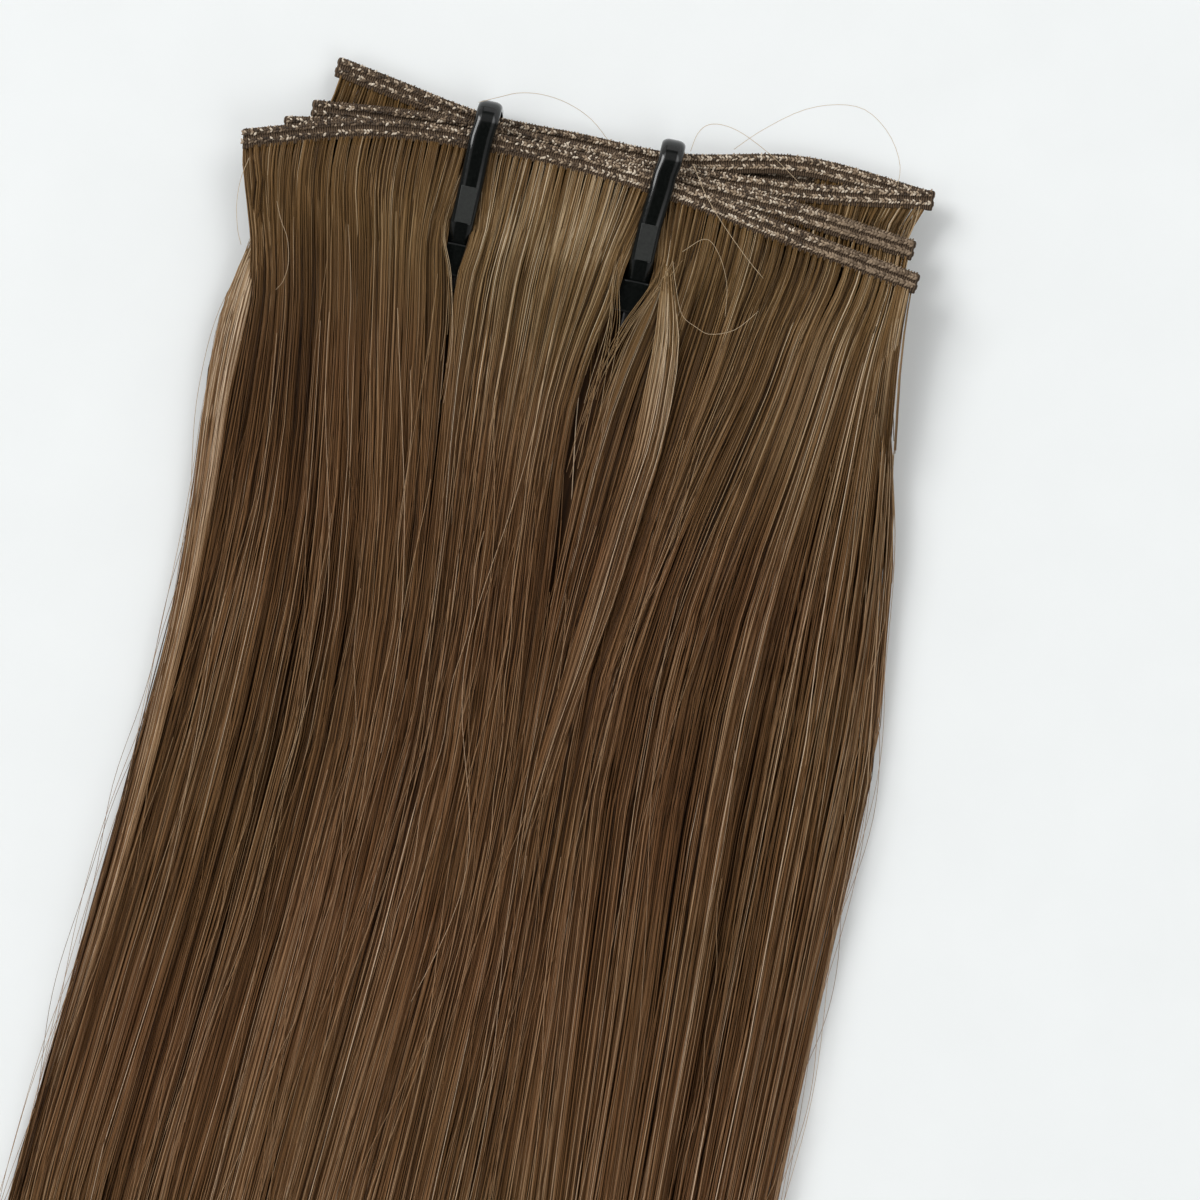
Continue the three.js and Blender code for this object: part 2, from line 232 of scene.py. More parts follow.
# Thread coordinates: along the strip and round its section, both in millimetres
travelled = np.concatenate([[0], np.cumsum(np.linalg.norm(np.diff(points, axis=0), axis=1))])
corner_ring, corner_side = ring_corners(*tube)
around = np.concatenate([section, section[:1]])
around = np.concatenate([[0], np.cumsum(np.linalg.norm(np.diff(around, axis=0), axis=1))])
cap_places = np.tile(section / 100 + 0.5, (2, 1))
thread_places = np.stack([travelled[corner_ring], around[corner_side]], axis=-1)
lay_out(weft_strip, "thread", np.concatenate([thread_places, cap_places]))
rows_in_map = len(PASSES)
ring_row = np.repeat(corner_ring[::4] * rows_in_map // len(points), 4)
row_length = len(points) / rows_in_map
bake_u = (corner_ring - np.ceil(ring_row * row_length)) / (row_length + 2)
bake_v = (ring_row + 0.05 + 0.9 * corner_side / len(section)) / rows_in_map
bake_places = np.stack([bake_u, bake_v], axis=-1)
cap_places = 0.006 + 0.002 * np.tile(section, (2, 1))
lay_out(weft_strip, "OFBake", np.concatenate([bake_places, cap_places]))


def srgb(*levels):
    """Linear colour from 0-255 screen levels."""
    share = np.array(levels) / 255
    linear = np.where(share < 0.04045, share / 12.92, ((share + 0.055) / 1.055) ** 2.4)
    return (*linear, 1.0)


def new_material(name, roughness, specular):
    """A node material with its Principled shader, and its node tree."""
    material = bpy.data.materials.new(name)
    material.use_nodes = True
    shader = material.node_tree.nodes["Principled BSDF"]
    shader.inputs["Roughness"].default_value = roughness
    shader.inputs["Specular IOR Level"].default_value = specular
    return material, material.node_tree, shader


def colour_ramp(tree, stops):
    """A colour ramp node from rows of position and colour."""
    node = tree.nodes.new("ShaderNodeValToRGB")
    ramp = node.color_ramp
    while len(ramp.elements) < len(stops):
        ramp.elements.new(0.5)
    for element, (position, colour) in zip(ramp.elements, stops):
        element.position = position
        element.color = colour
    return node


def add_node(tree, kind, values=()):
    """A shader node, with the values of its inputs by name."""
    node = tree.nodes.new(f"ShaderNode{kind}")
    for name, value in dict(values).items():
        node.inputs[name].default_value = value
    return node


def join(tree, *links):
    """Joins nodes, from rows of node, output, node and input."""
    for source, output, target, entry in links:
        tree.links.new(source.outputs[output], target.inputs[entry])


strip_finish, tree, shader = new_material("weft_strip_thread", 0.8, 0.25)
thread_map = add_node(tree, "UVMap")
thread_map.uv_map = "thread"
wraps = add_node(tree, "TexWave", {"Scale": 0.9, "Distortion": 1.5, "Detail": 2.0})
wraps.bands_direction = "X"
wrap_colours = colour_ramp(
    tree,
    [(0.1, srgb(44, 33, 23)), (0.6, srgb(76, 60, 45)), (1.0, srgb(104, 86, 67))],
)
wrap_bump = add_node(tree, "Bump", {"Strength": 0.6, "Distance": 0.0001})
join(
    tree,
    (thread_map, "UV", wraps, "Vector"),
    (wraps, "Fac", wrap_colours, "Fac"),
    (wraps, "Fac", wrap_bump, "Height"),
    (wrap_colours, "Color", shader, "Base Color"),
    (wrap_bump, "Normal", shader, "Normal"),
)
weft_strip.data.materials.append(strip_finish)

# Weft stitches
# The thread runs along each pass in two ropes of short slanted stitches, some pale and some brown,
# with a finer row at the upper edge. pale is the share of pale ones at the stops along the band.
STITCH_STOPS = (-30, 0, 17)
STITCH_ROWS = [
    dict(up=1.34, lift=0.2, pitch=0.46, slant=60, length=0.54, width=0.36, pale=(0.35, 0.4, 0.4)),
    dict(up=0.97, lift=0.36, pitch=0.46, slant=-42, length=0.6, width=0.46, pale=(0.36, 0.62, 0.72)),
    dict(up=0.64, lift=0.36, pitch=0.46, slant=40, length=0.6, width=0.46, pale=(0.3, 0.62, 0.66)),
    dict(up=-0.3, lift=0.36, pitch=0.45, slant=-42, length=0.6, width=0.46, pale=(0.36, 0.44, 0.7)),
    dict(up=-0.63, lift=0.36, pitch=0.45, slant=42, length=0.6, width=0.46, pale=(0.3, 0.4, 0.95)),
]
SEWN_PASSES = [
    dict(k=0, left=-60, right=60),
    dict(k=1, left=-60, right=-34),
    dict(k=2, left=6, right=60),
    dict(k=3, left=-60, right=60),
    dict(k=4, left=6, right=60),
    dict(k=5, left=-60, right=60),
    dict(k=6, left=12, right=48),
    dict(k=7, left=12, right=48),
]
STITCH_RINGS = np.array([-1.0, 0.0, 1.0])
STITCH_SWELL = np.array([0.45, 1.0, 0.45])
STITCH_SIDES = 4
STITCH_SINK = 0.06
PALE_TONES = (0.52, 1.0)
BROWN_TONES = (0.06, 0.5)

# At the right ends of the front passes the stitches are larger and nearly alike in tone
SEALED_FROM, SEALED_TO = 34, 42
SEALED_PASSES = (0, 1, 2, 3)
SEALED_TONE = 0.47
stitch_rng = np.random.default_rng(11)


def stitch_row(sewn, row):
    """Centres, ways along and across, and tones of one row of stitches on a pass."""
    k = sewn["k"]
    left = max(PASSES[k]["left"][0], sewn["left"])
    right = min(PASSES[k]["right"][0], sewn["right"])
    count = int((right - left) / row["pitch"])
    x = np.linspace(left, right, count) + stitch_rng.normal(0, 0.05, count)
    middle, along, up = pass_frame(k, x)
    centre = middle + up * (row["up"] + stitch_rng.normal(0, 0.04, (count, 1)))
    centre[:, 2] += row["lift"] - STITCH_SINK + stitch_rng.normal(0, 0.03, count)
    slant = np.radians(row["slant"] + stitch_rng.normal(0, 9, (count, 1)))
    reach = along * np.cos(slant) + up * np.sin(slant)
    across = up * np.cos(slant) - along * np.sin(slant)
    pale = stitch_rng.random(count) < np.interp(x, STITCH_STOPS, row["pale"])
    pale_tone = stitch_rng.uniform(*PALE_TONES, count)
    tone = np.where(pale, pale_tone, stitch_rng.uniform(*BROWN_TONES, count))
    sealed = np.clip((x - SEALED_FROM) / (SEALED_TO - SEALED_FROM), 0, 1) * (k in SEALED_PASSES)
    tone = tone * (1 - sealed) + (SEALED_TONE + 0.3 * (tone - SEALED_TONE)) * sealed
    size = stitch_rng.uniform(0.8, 1.15, (count, 1)) * (1 + 0.25 * sealed[:, None])
    return centre, reach * row["length"] / 2 * size, across * row["width"] / 2 * size, tone


def set_tones(piece, tone):
    """Gives each corner of a piece its tone, from dark to pale."""
    tones = piece.data.attributes.new("tone", "FLOAT", "POINT")
    tones.data.foreach_set("value", tone.astype(np.float32))


def read_tones(tree):
    node = add_node(tree, "Attribute")
    node.attribute_name = "tone"
    return node


stitches = [stitch_row(sewn, row) for sewn in SEWN_PASSES for row in STITCH_ROWS]
centre, reach, across, tone = (np.concatenate(part) for part in zip(*stitches))
thickness = np.linalg.norm(across, axis=1)[:, None] * np.array([0, 0, 1.0])
turn = 2 * np.pi * (np.arange(STITCH_SIDES) + 0.5) / STITCH_SIDES
swell = STITCH_SWELL[None, :, None, None]
corners = (
    centre[:, None, None]
    + STITCH_RINGS[None, :, None, None] * reach[:, None, None]
    + swell * np.cos(turn)[None, None, :, None] * across[:, None, None]
    + swell * np.sin(turn)[None, None, :, None] * thickness[:, None, None]
)
tube = (len(STITCH_RINGS), STITCH_SIDES)
one = np.concatenate([ring_faces(*tube), end_caps(*tube)])
per_stitch = len(STITCH_RINGS) * STITCH_SIDES
first = np.arange(len(centre)) * per_stitch
quads = (first[:, None, None] + one[None]).reshape(-1, 4)
weft_stitches = mesh_piece(
    "weft_stitches", corner_list(corners), [quads], "weft_band"
)
set_tones(weft_stitches, np.repeat(tone, per_stitch))

# Each stitch has its own square of the bake map, and each of its faces a cell in that square
cells = math.ceil(math.sqrt(len(centre)))
cell = np.stack([np.arange(len(centre)) % cells, np.arange(len(centre)) // cells], axis=-1)
face_cells = 4
face_cell = np.stack([np.arange(len(one)) % face_cells, np.arange(len(one)) // face_cells], axis=-1)
square = np.array([(0.1, 0.1), (0.9, 0.1), (0.9, 0.9), (0.1, 0.9)])
inside = (face_cell[:, None] + square[None]) / face_cells
bake_places = (cell[:, None, None] + 0.05 + 0.9 * inside[None]) / cells
lay_out(weft_stitches, "OFBake", bake_places.reshape(-1, 2))

stitch_finish, tree, shader = new_material("weft_stitch_thread", 0.55, 0.35)
stitch_tone = read_tones(tree)
stitch_colours = colour_ramp(
    tree,
    [
        (0.0, srgb(38, 28, 20)),
        (0.4, srgb(92, 75, 57)),
        (0.7, srgb(160, 139, 115)),
        (1.0, srgb(218, 204, 184)),
    ],
)
join(
    tree,
    (stitch_tone, "Fac", stitch_colours, "Fac"),
    (stitch_colours, "Color", shader, "Base Color"),
)
weft_stitches.data.materials.append(stitch_finish)

# Fall of hair, its dark inside
# Straight hair lies in a flat sheaf about 9 mm deep. Little light gets inside it, so a filling painted
# dark brown as shade stands just under the hairs that show. Depth is the distance from the band towards
# the tips.
FALL_DEPTH = (10, 14, 24, 34, 46, 62, 80, 117, 170, 230, 300, 350, 374, 402)
FALL_LEFT = (
    -47.8, -46.4, -46.6, -48.4, -48.2, -46.7, -46.2, -48.4, -52.2, -53.6, -52.8, -51, -49.4, -47,
)
FALL_RIGHT = (52.4, 52.3, 53.3, 55.8, 58.7, 61.0, 63.0, 62.6, 62.0, 60.4, 57.4, 54.6, 53.0, 51)
FALL_BOTTOM = (1.6, 1.6, 1.5, 0.8, 0.1, 0.1, 0.1, 0.1, 0.1, 0.1, 0.1, 0.1, 0.1, 0.1)
FALL_TOP = (8.8, 8.7, 8.8, 9.2, 9.6, 9.6, 9.4, 8.9, 8.2, 7.3, 6.0, 4.6, 3.4, 1.8)
FILLING_DROP = 1.3
FILLING_TOP_STEPS = 60
HEAD_PIT = 5.0


def fall_edge(column, depth):
    return smooth(FALL_DEPTH, column, depth)


def ramp(start, end, at):
    """0 before start, 1 past end and an even swing between."""
    t = np.clip((at - start) / (end - start), 0, 1)
    return t * t * (3 - 2 * t)


def crown(x, depth):
    """Height of the fall's top: flat in the middle and rounded down at its edges, which thin out."""
    left, right = fall_edge(FALL_LEFT, depth), fall_edge(FALL_RIGHT, depth)
    share = np.clip((x - left) / (right - left), 0, 1)
    thin = ramp(30, 75, depth)
    fullness = np.sqrt(1 - np.abs(2 * share - 1) ** (5 - 1.4 * thin))
    rim = 0.35 - 0.22 * thin
    low, high = fall_edge(FALL_BOTTOM, depth), fall_edge(FALL_TOP, depth)
    return low + (high - low) * (rim + (1 - rim) * fullness)


depth = np.concatenate([np.linspace(11.5, 45, 24), np.linspace(50, 372, 40)])[:, None]
share = np.linspace(0.02, 0.98, FILLING_TOP_STEPS)
share = np.concatenate([share, np.linspace(0.96, 0.04, 8)])[None]
is_top = np.arange(share.shape[1])[None] < FILLING_TOP_STEPS
left, right = fall_edge(FALL_LEFT, depth), fall_edge(FALL_RIGHT, depth)
inset = 0.5 + 0.5 * ramp(14, 26, depth)
x = left + inset + share * (right - left - 2 * inset)
pit = sum(np.exp(-(((x - tie_x) / 3.4) ** 2)) for tie_x in (TIE_LEFT_X, TIE_RIGHT_X))
pit = pit * ramp(10, 14, depth) * (1 - ramp(25, 34, depth)) * HEAD_PIT
low = fall_edge(FALL_BOTTOM, depth) + 0.3
z = np.where(is_top, np.maximum(crown(x, depth) - FILLING_DROP - pit, low + 0.2), low)
tube = (len(depth), share.shape[1])
rings = placed(x, -depth, z).reshape(-1, 3)
faces = [ring_faces(*tube), end_caps(*tube)]
hair_filling = mesh_piece("hair_filling", rings, faces, "hair_fall")

filling_finish, tree, shader = new_material("hair_filling_shade", 0.7, 0.1)
place = add_node(tree, "TexCoord")
stretch = add_node(tree, "Mapping", {"Scale": (1500, 25, 400)})
streaks = add_node(tree, "TexNoise", {"Scale": 1.0, "Detail": 4.0})
# These streaky dark browns are painted shade, not the hair's own colour
streak_colours = colour_ramp(tree, [(0.3, srgb(26, 13, 3)), (0.7, srgb(66, 43, 22))])
join(
    tree,
    (place, "Object", stretch, "Vector"),
    (stretch, "Vector", streaks, "Vector"),
    (streaks, "Fac", streak_colours, "Fac"),
    (streak_colours, "Color", shader, "Base Color"),
)
hair_filling.data.materials.append(filling_finish)

# Hairs of the fall
# Straight brown hair leaves the lower edge of every pass in small tufts, parts round the tie heads and
# falls in fine wisps. The top pass lies over the others and drifts in towards the middle.
STRAND_SIDES = 3
FLOW_DEPTHS = (20, 30, 40, 60, 80, 110, 150)
FLOW_LINES = [
    dict(root=-49.5, line=(-46.6, -43.9, -43.6, -43.6, -43.8, -45.2, -48.6)),
    dict(root=-42.0, line=(-40.7, -38.5, -37.0, -35.1, -35.2, -36.5, -40.2)),
    dict(root=-30.0, line=(-27.9, -26.0, -24.2, -20.6, -18.4, -18.4, -21.2)),
    dict(root=-18.0, line=(-17.6, -16.0, -14.6, -11.9, -10.3, -10.2, -12.3)),
    dict(root=-14.9, line=(-14.9, -13.6, -12.4, -10.4, -8.9, -8.8, -11.0)),
    dict(root=-11.0, line=(-12.2, -11.5, -10.7, -8.4, -6.9, -7.2, -9.9)),
    dict(root=0.0, line=(-0.8, -0.7, -0.6, 0.4, 1.9, 2.6, -0.2)),
    dict(root=9.0, line=(6.6, 5.4, 4.8, 5.4, 6.8, 7.8, 7.6)),
    dict(root=13.4, line=(12.3, 10.2, 8.9, 9.4, 10.4, 10.8, 9.6)),
    dict(root=17.0, line=(15.6, 14.0, 13.0, 12.1, 11.9, 11.8, 11.2)),
    dict(root=25.0, line=(24.4, 23.4, 22.6, 20.6, 18.8, 19.6, 21.0)),
    dict(root=34.0, line=(32.4, 30.8, 28.4, 24.6, 22.6, 23.8, 28.0)),
    dict(root=44.0, line=(42.0, 40.8, 39.4, 36.4, 35.4, 36.4, 39.0)),
    dict(root=49.0, line=(47.9, 47.0, 46.2, 44.8, 44.4, 45.0, 46.4)),
    dict(root=53.4, line=(54.0, 55.4, 57.2, 61.0, 63.0, 63.4, 62.8)),
]
TAIL_DEPTHS = (230, 402)

# Half width of the hair's parting round each tie head and below it
PARTING_DEPTHS = (4, 8, 12, 15, 18, 20, 23, 26, 34, 50, 80)
PARTING_LEFT = (0, 0.6, 1.3, 1.7, 1.5, 1.1, 0.7, 0.45, 0.3, 0.2, 0)
PARTING_RIGHT = (0, 0.7, 1.6, 2.1, 2.1, 2.1, 2.1, 2.1, 1.8, 0.9, 0)
PARTING_UNDER = (0, 0.8, 2.2, 3.2, 3.6, 3.7, 3.7, 3.2, 2.0, 0.9, 0)
PARTING_REACH = 7.0
DEPTHS_READ = np.linspace(0, 402, 135)
TUFT_PITCH = 1.0
TUFT_GAP = 0.26
WISP_PITCH = 0.36
LOCK_PITCH = 3.4
LAYER_STEP = 0.12
BACK_PASSES = (4, 5, 6, 7)
COVERED_PASSES = (5, 6)
ROOT_INSIDE = 0.3
TIP_DEPTH = 388
HAIR_RADII = (0.05, 0.092)
UNDER_HAIR_SWELL = 1.3
MIDDLE_TONE = 0.46
SWAY_DEPTHS = np.linspace(0, 420, 60)

# Hair stays off the table, over the tie heads and under the straps
LOWEST_Z = 0.15
ABOVE_HEAD_Z = 8.3
UNDER_STRAP_DEPTHS = (4, 9, 14.4, 16, 17)
UNDER_STRAP_Z = (8.9, 8.6, 8.0, 8.0, 12)


def top_flow(root_x, depth):
    """Where a hair of the top pass lies across the fall, along its length."""
    roots = [line["root"] for line in FLOW_LINES]
    read = np.array([line["line"] for line in FLOW_LINES])
    columns = [np.interp(root_x, roots, column) for column in read.T]
    left, right = fall_edge(FALL_LEFT, FLOW_DEPTHS[-1]), fall_edge(FALL_RIGHT, FLOW_DEPTHS[-1])
    share = (columns[-1] - left) / (right - left)
    for tail in TAIL_DEPTHS:
        left, right = fall_edge(FALL_LEFT, tail), fall_edge(FALL_RIGHT, tail)
        columns.append(left + share * (right - left))
    # Between the ties the hair leans from the band on, and at the ends it starts straight
    lean = 0.44 * (1 - ramp(16, 26, np.abs(root_x)))
    leaving = root_x + lean * (columns[0] - root_x)
    stops = (0, 11, *FLOW_DEPTHS, *TAIL_DEPTHS)
    return smooth(stops, np.stack([root_x, leaving, *columns], axis=-1), depth)


def under_flow(k, root_x, depth):
    """Where a hair of a lower pass lies: spread evenly over the fall. The back passes lean left."""
    first, last = PASSES[k]["left"][0], PASSES[k]["right"][0]
    share = ((root_x - first) / (last - first))[:, None]
    left, right = fall_edge(FALL_LEFT, depth) - 0.2, fall_edge(FALL_RIGHT, depth) + 0.2
    spread = ramp(5, 36, depth)
    start = root_x[:, None]
    if k in BACK_PASSES:
        lean = -2.0 * ramp(38, 53, root_x) - 1.2 * (1 - ramp(-38, -26, root_x))
        start = start + lean[:, None] * ramp(-4, 3, depth)
    return start * (1 - spread) + (left + share * (right - left)) * spread


def parted(x, side, middle, half):
    """Pushes hair apart round a tie, most beside it and not at all beyond the parting's reach."""
    off = np.maximum(side * (x - middle), 0.02)
    squeezed = half + off * (1 - half / PARTING_REACH)
    return np.where(off < PARTING_REACH, middle + side * squeezed, x)


def wave(rng, count, swing, shortest, longest, depth):
    """A slow sideways wave of its own size, length and start for each row."""
    size = rng.uniform(-1, 1, count) * swing
    length = rng.uniform(shortest, longest, count)
    start = rng.uniform(0, 2 * np.pi, count)
    return size[:, None] * np.sin(2 * np.pi * depth / length[:, None] + start[:, None])


def nearest(marks, x):
    return np.abs(marks[None] - x[:, None]).argmin(axis=1)


def between(marks, x, width):
    """1 halfway between two marks, and 0 more than a few widths away from there."""
    halfway = (marks[1:] + marks[:-1]) / 2
    return np.exp(-((np.abs(halfway[None] - x[:, None]).min(axis=1) / width) ** 2))


def root_depths(k, root_x):
    return -(pass_middle(k, root_x) - BAND_HEIGHT / 2 + ROOT_INSIDE)


def gathered(rng, centres, uneven, root_x, mixing):
    """Uneven centres of wisps or locks along a pass, and the one that each hair belongs to."""
    centres = centres + rng.uniform(-uneven, uneven, len(centres))
    return centres, nearest(centres, root_x + rng.normal(0, mixing, len(root_x)))


def sewn_hairs(rng, k, hairs_per_tuft, stations):
    """The hairs of one pass: their roots, the wisp and the lock of each, and depths along them."""
    first, last = PASSES[k]["left"][0] + 0.3, PASSES[k]["right"][0] - 0.3
    tufts = np.linspace(first, last, int((last - first) / TUFT_PITCH))
    tufts = np.repeat(tufts + rng.normal(0, 0.08, len(tufts)), hairs_per_tuft)
    count = len(tufts)
    offset = rng.uniform(-0.5, 0.5, count) * TUFT_PITCH
    root_x = np.clip(tufts + offset, first, last)
    root_depth = root_depths(k, root_x)

    # Hairs gather into fine wisps with seams between them, and wisps into locks with grooves, where they
    # sink and are painted darker as shade
    wisp_x, wisp = gathered(rng, np.arange(first, last, WISP_PITCH), 0.15, root_x, 0.08)
    lock_x, lock = gathered(rng, np.arange(first + 1, last, LOCK_PITCH), 1.3, root_x, 0.25)
    tip_depth = TIP_DEPTH + rng.normal(0, 4, count) - (rng.random(len(wisp_x)) ** 3 * 22)[wisp]
    along = np.asarray(stations)[None] / stations[-1]
    fallen = (tip_depth - root_depth)[:, None] * along
    return SimpleNamespace(
        k=k,
        count=count,
        offset=offset,
        root_x=root_x,
        wisps=len(wisp_x),
        wisp_x=wisp_x,
        wisp=wisp,
        lock_x=lock_x,
        lock=lock,
        seam=between(wisp_x, root_x, 0.06)[:, None],
        groove=between(lock_x, root_x, 0.45)[:, None],
        along=along,
        fallen=fallen,
        depth=root_depth[:, None] + fallen,
    )


def across_fall(rng, hairs):
    """Where hairs lie across the fall, parted round the ties, and the share of each over a head."""
    k, root_x, depth, fallen = hairs.k, hairs.root_x, hairs.depth, hairs.fallen
    flow = top_flow if k == 0 else lambda root, d: under_flow(k, root, d)
    to_wisp = rng.uniform(0.0, 0.4, hairs.wisps)[hairs.wisp][:, None] * ramp(8, 50, depth)
    to_lock = rng.uniform(0.02, 0.22, len(hairs.lock_x))[hairs.lock][:, None] * ramp(20, 90, depth)
    x = flow(root_x, depth) * (1 - to_wisp) + flow(hairs.wisp_x[hairs.wisp], depth) * to_wisp
    x = x * (1 - to_lock) + flow(hairs.lock_x[hairs.lock], depth) * to_lock
    x = x - (TUFT_GAP * hairs.offset)[:, None] * (1 - ramp(0.5, 5, fallen))
    free = ramp(8, 70, fallen)
    sway = wave(rng, hairs.wisps, 0.5, 80, 200, SWAY_DEPTHS)
    sway = sway + wave(rng, hairs.wisps, 0.15, 30, 70, SWAY_DEPTHS)
    x = x + smooth(SWAY_DEPTHS, sway[hairs.wisp], depth) * free
    x = x + wave(rng, hairs.count, 0.45, 30, 120, depth) * free
    x = x + rng.normal(0, 0.2, hairs.count)[:, None] * ramp(2, 20, fallen)
    loose = np.where(np.abs(root_x) < 12, 0.32, 0.18)
    strays = rng.normal(0, 2.0, hairs.count) * (rng.random(hairs.count) < loose)
    x = x + strays[:, None] * ramp(3, 100, fallen)
    reach = rng.uniform(-1.0, 0.6, hairs.count)[:, None]
    x = np.clip(x, fall_edge(FALL_LEFT, depth) - reach, fall_edge(FALL_RIGHT, depth) + reach)

    over_head = 0
    for tie_x, half in ((TIE_LEFT_X, PARTING_LEFT), (TIE_RIGHT_X, PARTING_RIGHT)):
        side = np.where(root_x < tie_x, -1, 1)[:, None]
        middle = np.interp(depth, DEPTHS_READ, top_flow(np.array([tie_x]), DEPTHS_READ[None])[0])
        if k > 0:
            middle, half = (middle + tie_x) / 2, PARTING_UNDER
        x = parted(x, side, middle, smooth(PARTING_DEPTHS, half, depth))
        beside = 1 - ramp(2.6, 5.0, np.abs(x - tie_x))
        over_head = over_head + beside * ramp(11, 16, depth) * (1 - ramp(24, 32, depth))
    return x, over_head


def height_in_fall(rng, hairs, x, over_head):
    """Heights of hairs along their length, and how far each is sunk among the others."""
    k, depth, fallen = hairs.k, hairs.depth, hairs.fallen
    spare = ramp(38, 54, x) * ramp(24, 60, depth)
    level = 1 - LAYER_STEP * k * (1 - 0.75 * spare)
    low = fall_edge(FALL_BOTTOM, depth)
    sunk = rng.random(hairs.count) * (0.8 if k == 0 else 0.9)
    lift = rng.normal(0, 0.09, hairs.wisps)[:, None]
    lift = lift + wave(rng, hairs.wisps, 0.16, 60, 160, SWAY_DEPTHS)
    lift = smooth(SWAY_DEPTHS, lift[hairs.wisp], depth)
    lift = lift - 0.25 * hairs.groove * ramp(15, 50, depth)
    lift = lift - 0.12 * hairs.seam * ramp(6, 25, depth)
    height = fall_edge(FALL_TOP, depth) / 9
    lying = low + level * (crown(x, depth) - low)
    lying = lying + (lift - sunk[:, None]) * height
    if k == 0:
        above_head = np.maximum(lying, ABOVE_HEAD_Z + 0.3 * sunk[:, None])
        lying = lying * (1 - over_head) + above_head * over_head
    root_z = pass_z(k) + rng.uniform(-0.24, 0.24, hairs.count)[:, None]
    settle = ramp(3, 18, fallen)
    rounded = 0.1 * (2 * hairs.offset / TUFT_PITCH)[:, None] ** 2 * (1 - ramp(2, 8, fallen))
    z = np.maximum(root_z * (1 - settle) + lying * settle - rounded, LOWEST_Z)
    # Right of the ties these roots lie flat, so that the passes under them stay in sight
    if k in COVERED_PASSES:
        covered = ramp(12, 16, hairs.root_x) * (1 - ramp(35, 38, hairs.root_x))
        z = z - covered[:, None] * (1 - ramp(5, 12, fallen)) * np.maximum(z - 1.2, 0)
    for tie_x in (TIE_LEFT_X, TIE_RIGHT_X):
        beside = 1 - ramp(2.0, 3.4, np.abs(x - tie_x))
        under_strap = np.interp(depth, UNDER_STRAP_DEPTHS, UNDER_STRAP_Z)
        z = z - beside * np.maximum(z - under_strap, 0)
    return z, sunk


def hair_tones(rng, hairs, x, sunk):
    """Tones of hairs along their length, from dark to pale."""
    depth = hairs.depth
    spread = rng.normal(0, 0.05, hairs.wisps)[hairs.wisp] + rng.normal(0, 0.165, hairs.count)
    # A few hairs are painted paler as highlights, and hairs sunk among the others are painted darker as
    # shade
    spread = spread + 0.2 * (rng.random(hairs.count) < 0.05) - 0.3 * sunk
    contrast = np.interp(hairs.root_x, (-20, -12, 8, 16), (-0.1, 0.2, 0.2, 0.05))[:, None]
    tone = MIDDLE_TONE + spread[:, None] * (1 + contrast * (1 - ramp(25, 60, depth)))
    tone = tone + wave(rng, hairs.count, 0.1, 50, 200, depth)
    # Hairs in the seams between wisps and the grooves between locks are painted darker as shade
    tone = tone - 0.1 * hairs.groove * ramp(10, 40, depth) - 0.1 * hairs.seam * ramp(4, 20, depth)

    # Painted light: paler by the band, most of all between the ties, along the right edge and lower
    # down, with a patch of painted light near each edge, and on the left a patch of painted shade nearer
    # the band
    near = 1 - ramp(14, 60, depth)
    tone = tone + 0.06 * near * (1 - ramp(14, 22, x)) + 0.11 * ramp(95, 150, depth)
    by_band = 1 - ramp(12, 20, depth)
    painted_light_between_ties = np.exp(-((x / 11) ** 4)) * (0.15 * by_band + 0.1 * (1 - ramp(40, 62, depth)))
    painted_light_right_of_ties = np.exp(-(((x - 22) / 7) ** 4)) * 0.1 * by_band
    tone = tone + painted_light_between_ties + painted_light_right_of_ties
    # Painted light along the right edge of the fall
    tone = tone + 0.17 * ramp(33, 46, x) * (1 - 0.5 * ramp(80, 130, depth))
    tone = tone + 0.1 * ramp(44, 50, x) * (1 - ramp(22, 40, depth))
    painted_light_and_shade_left = np.interp(depth, (13, 22, 46, 70, 98, 125), (0, -0.1, -0.14, 0.13, 0.13, 0))
    tone = tone + painted_light_and_shade_left * np.exp(-(((x + 36) / 5) ** 2))
    painted_light_right = np.interp(depth, (18, 24, 38, 50), (0, 0.11, 0.11, 0))
    tone = tone + painted_light_right * np.exp(-(((x - 42) / 5) ** 2))
    return np.clip(tone, 0, 1)


def hairs_of_pass(k, hairs_per_tuft, stations, seed):
    """Paths in millimetres, radii and tones of the hairs sewn into one pass."""
    rng = np.random.default_rng(seed)
    hairs = sewn_hairs(rng, k, hairs_per_tuft, stations)
    x, over_head = across_fall(rng, hairs)
    z, sunk = height_in_fall(rng, hairs, x, over_head)
    tone = hair_tones(rng, hairs, x, sunk)
    thinning = 1 - 0.7 * ramp(0.8, 1.0, hairs.along)
    radius = rng.uniform(*HAIR_RADII, hairs.count)[:, None] * thinning
    return np.stack([x, -hairs.depth, z], axis=-1), radius, tone


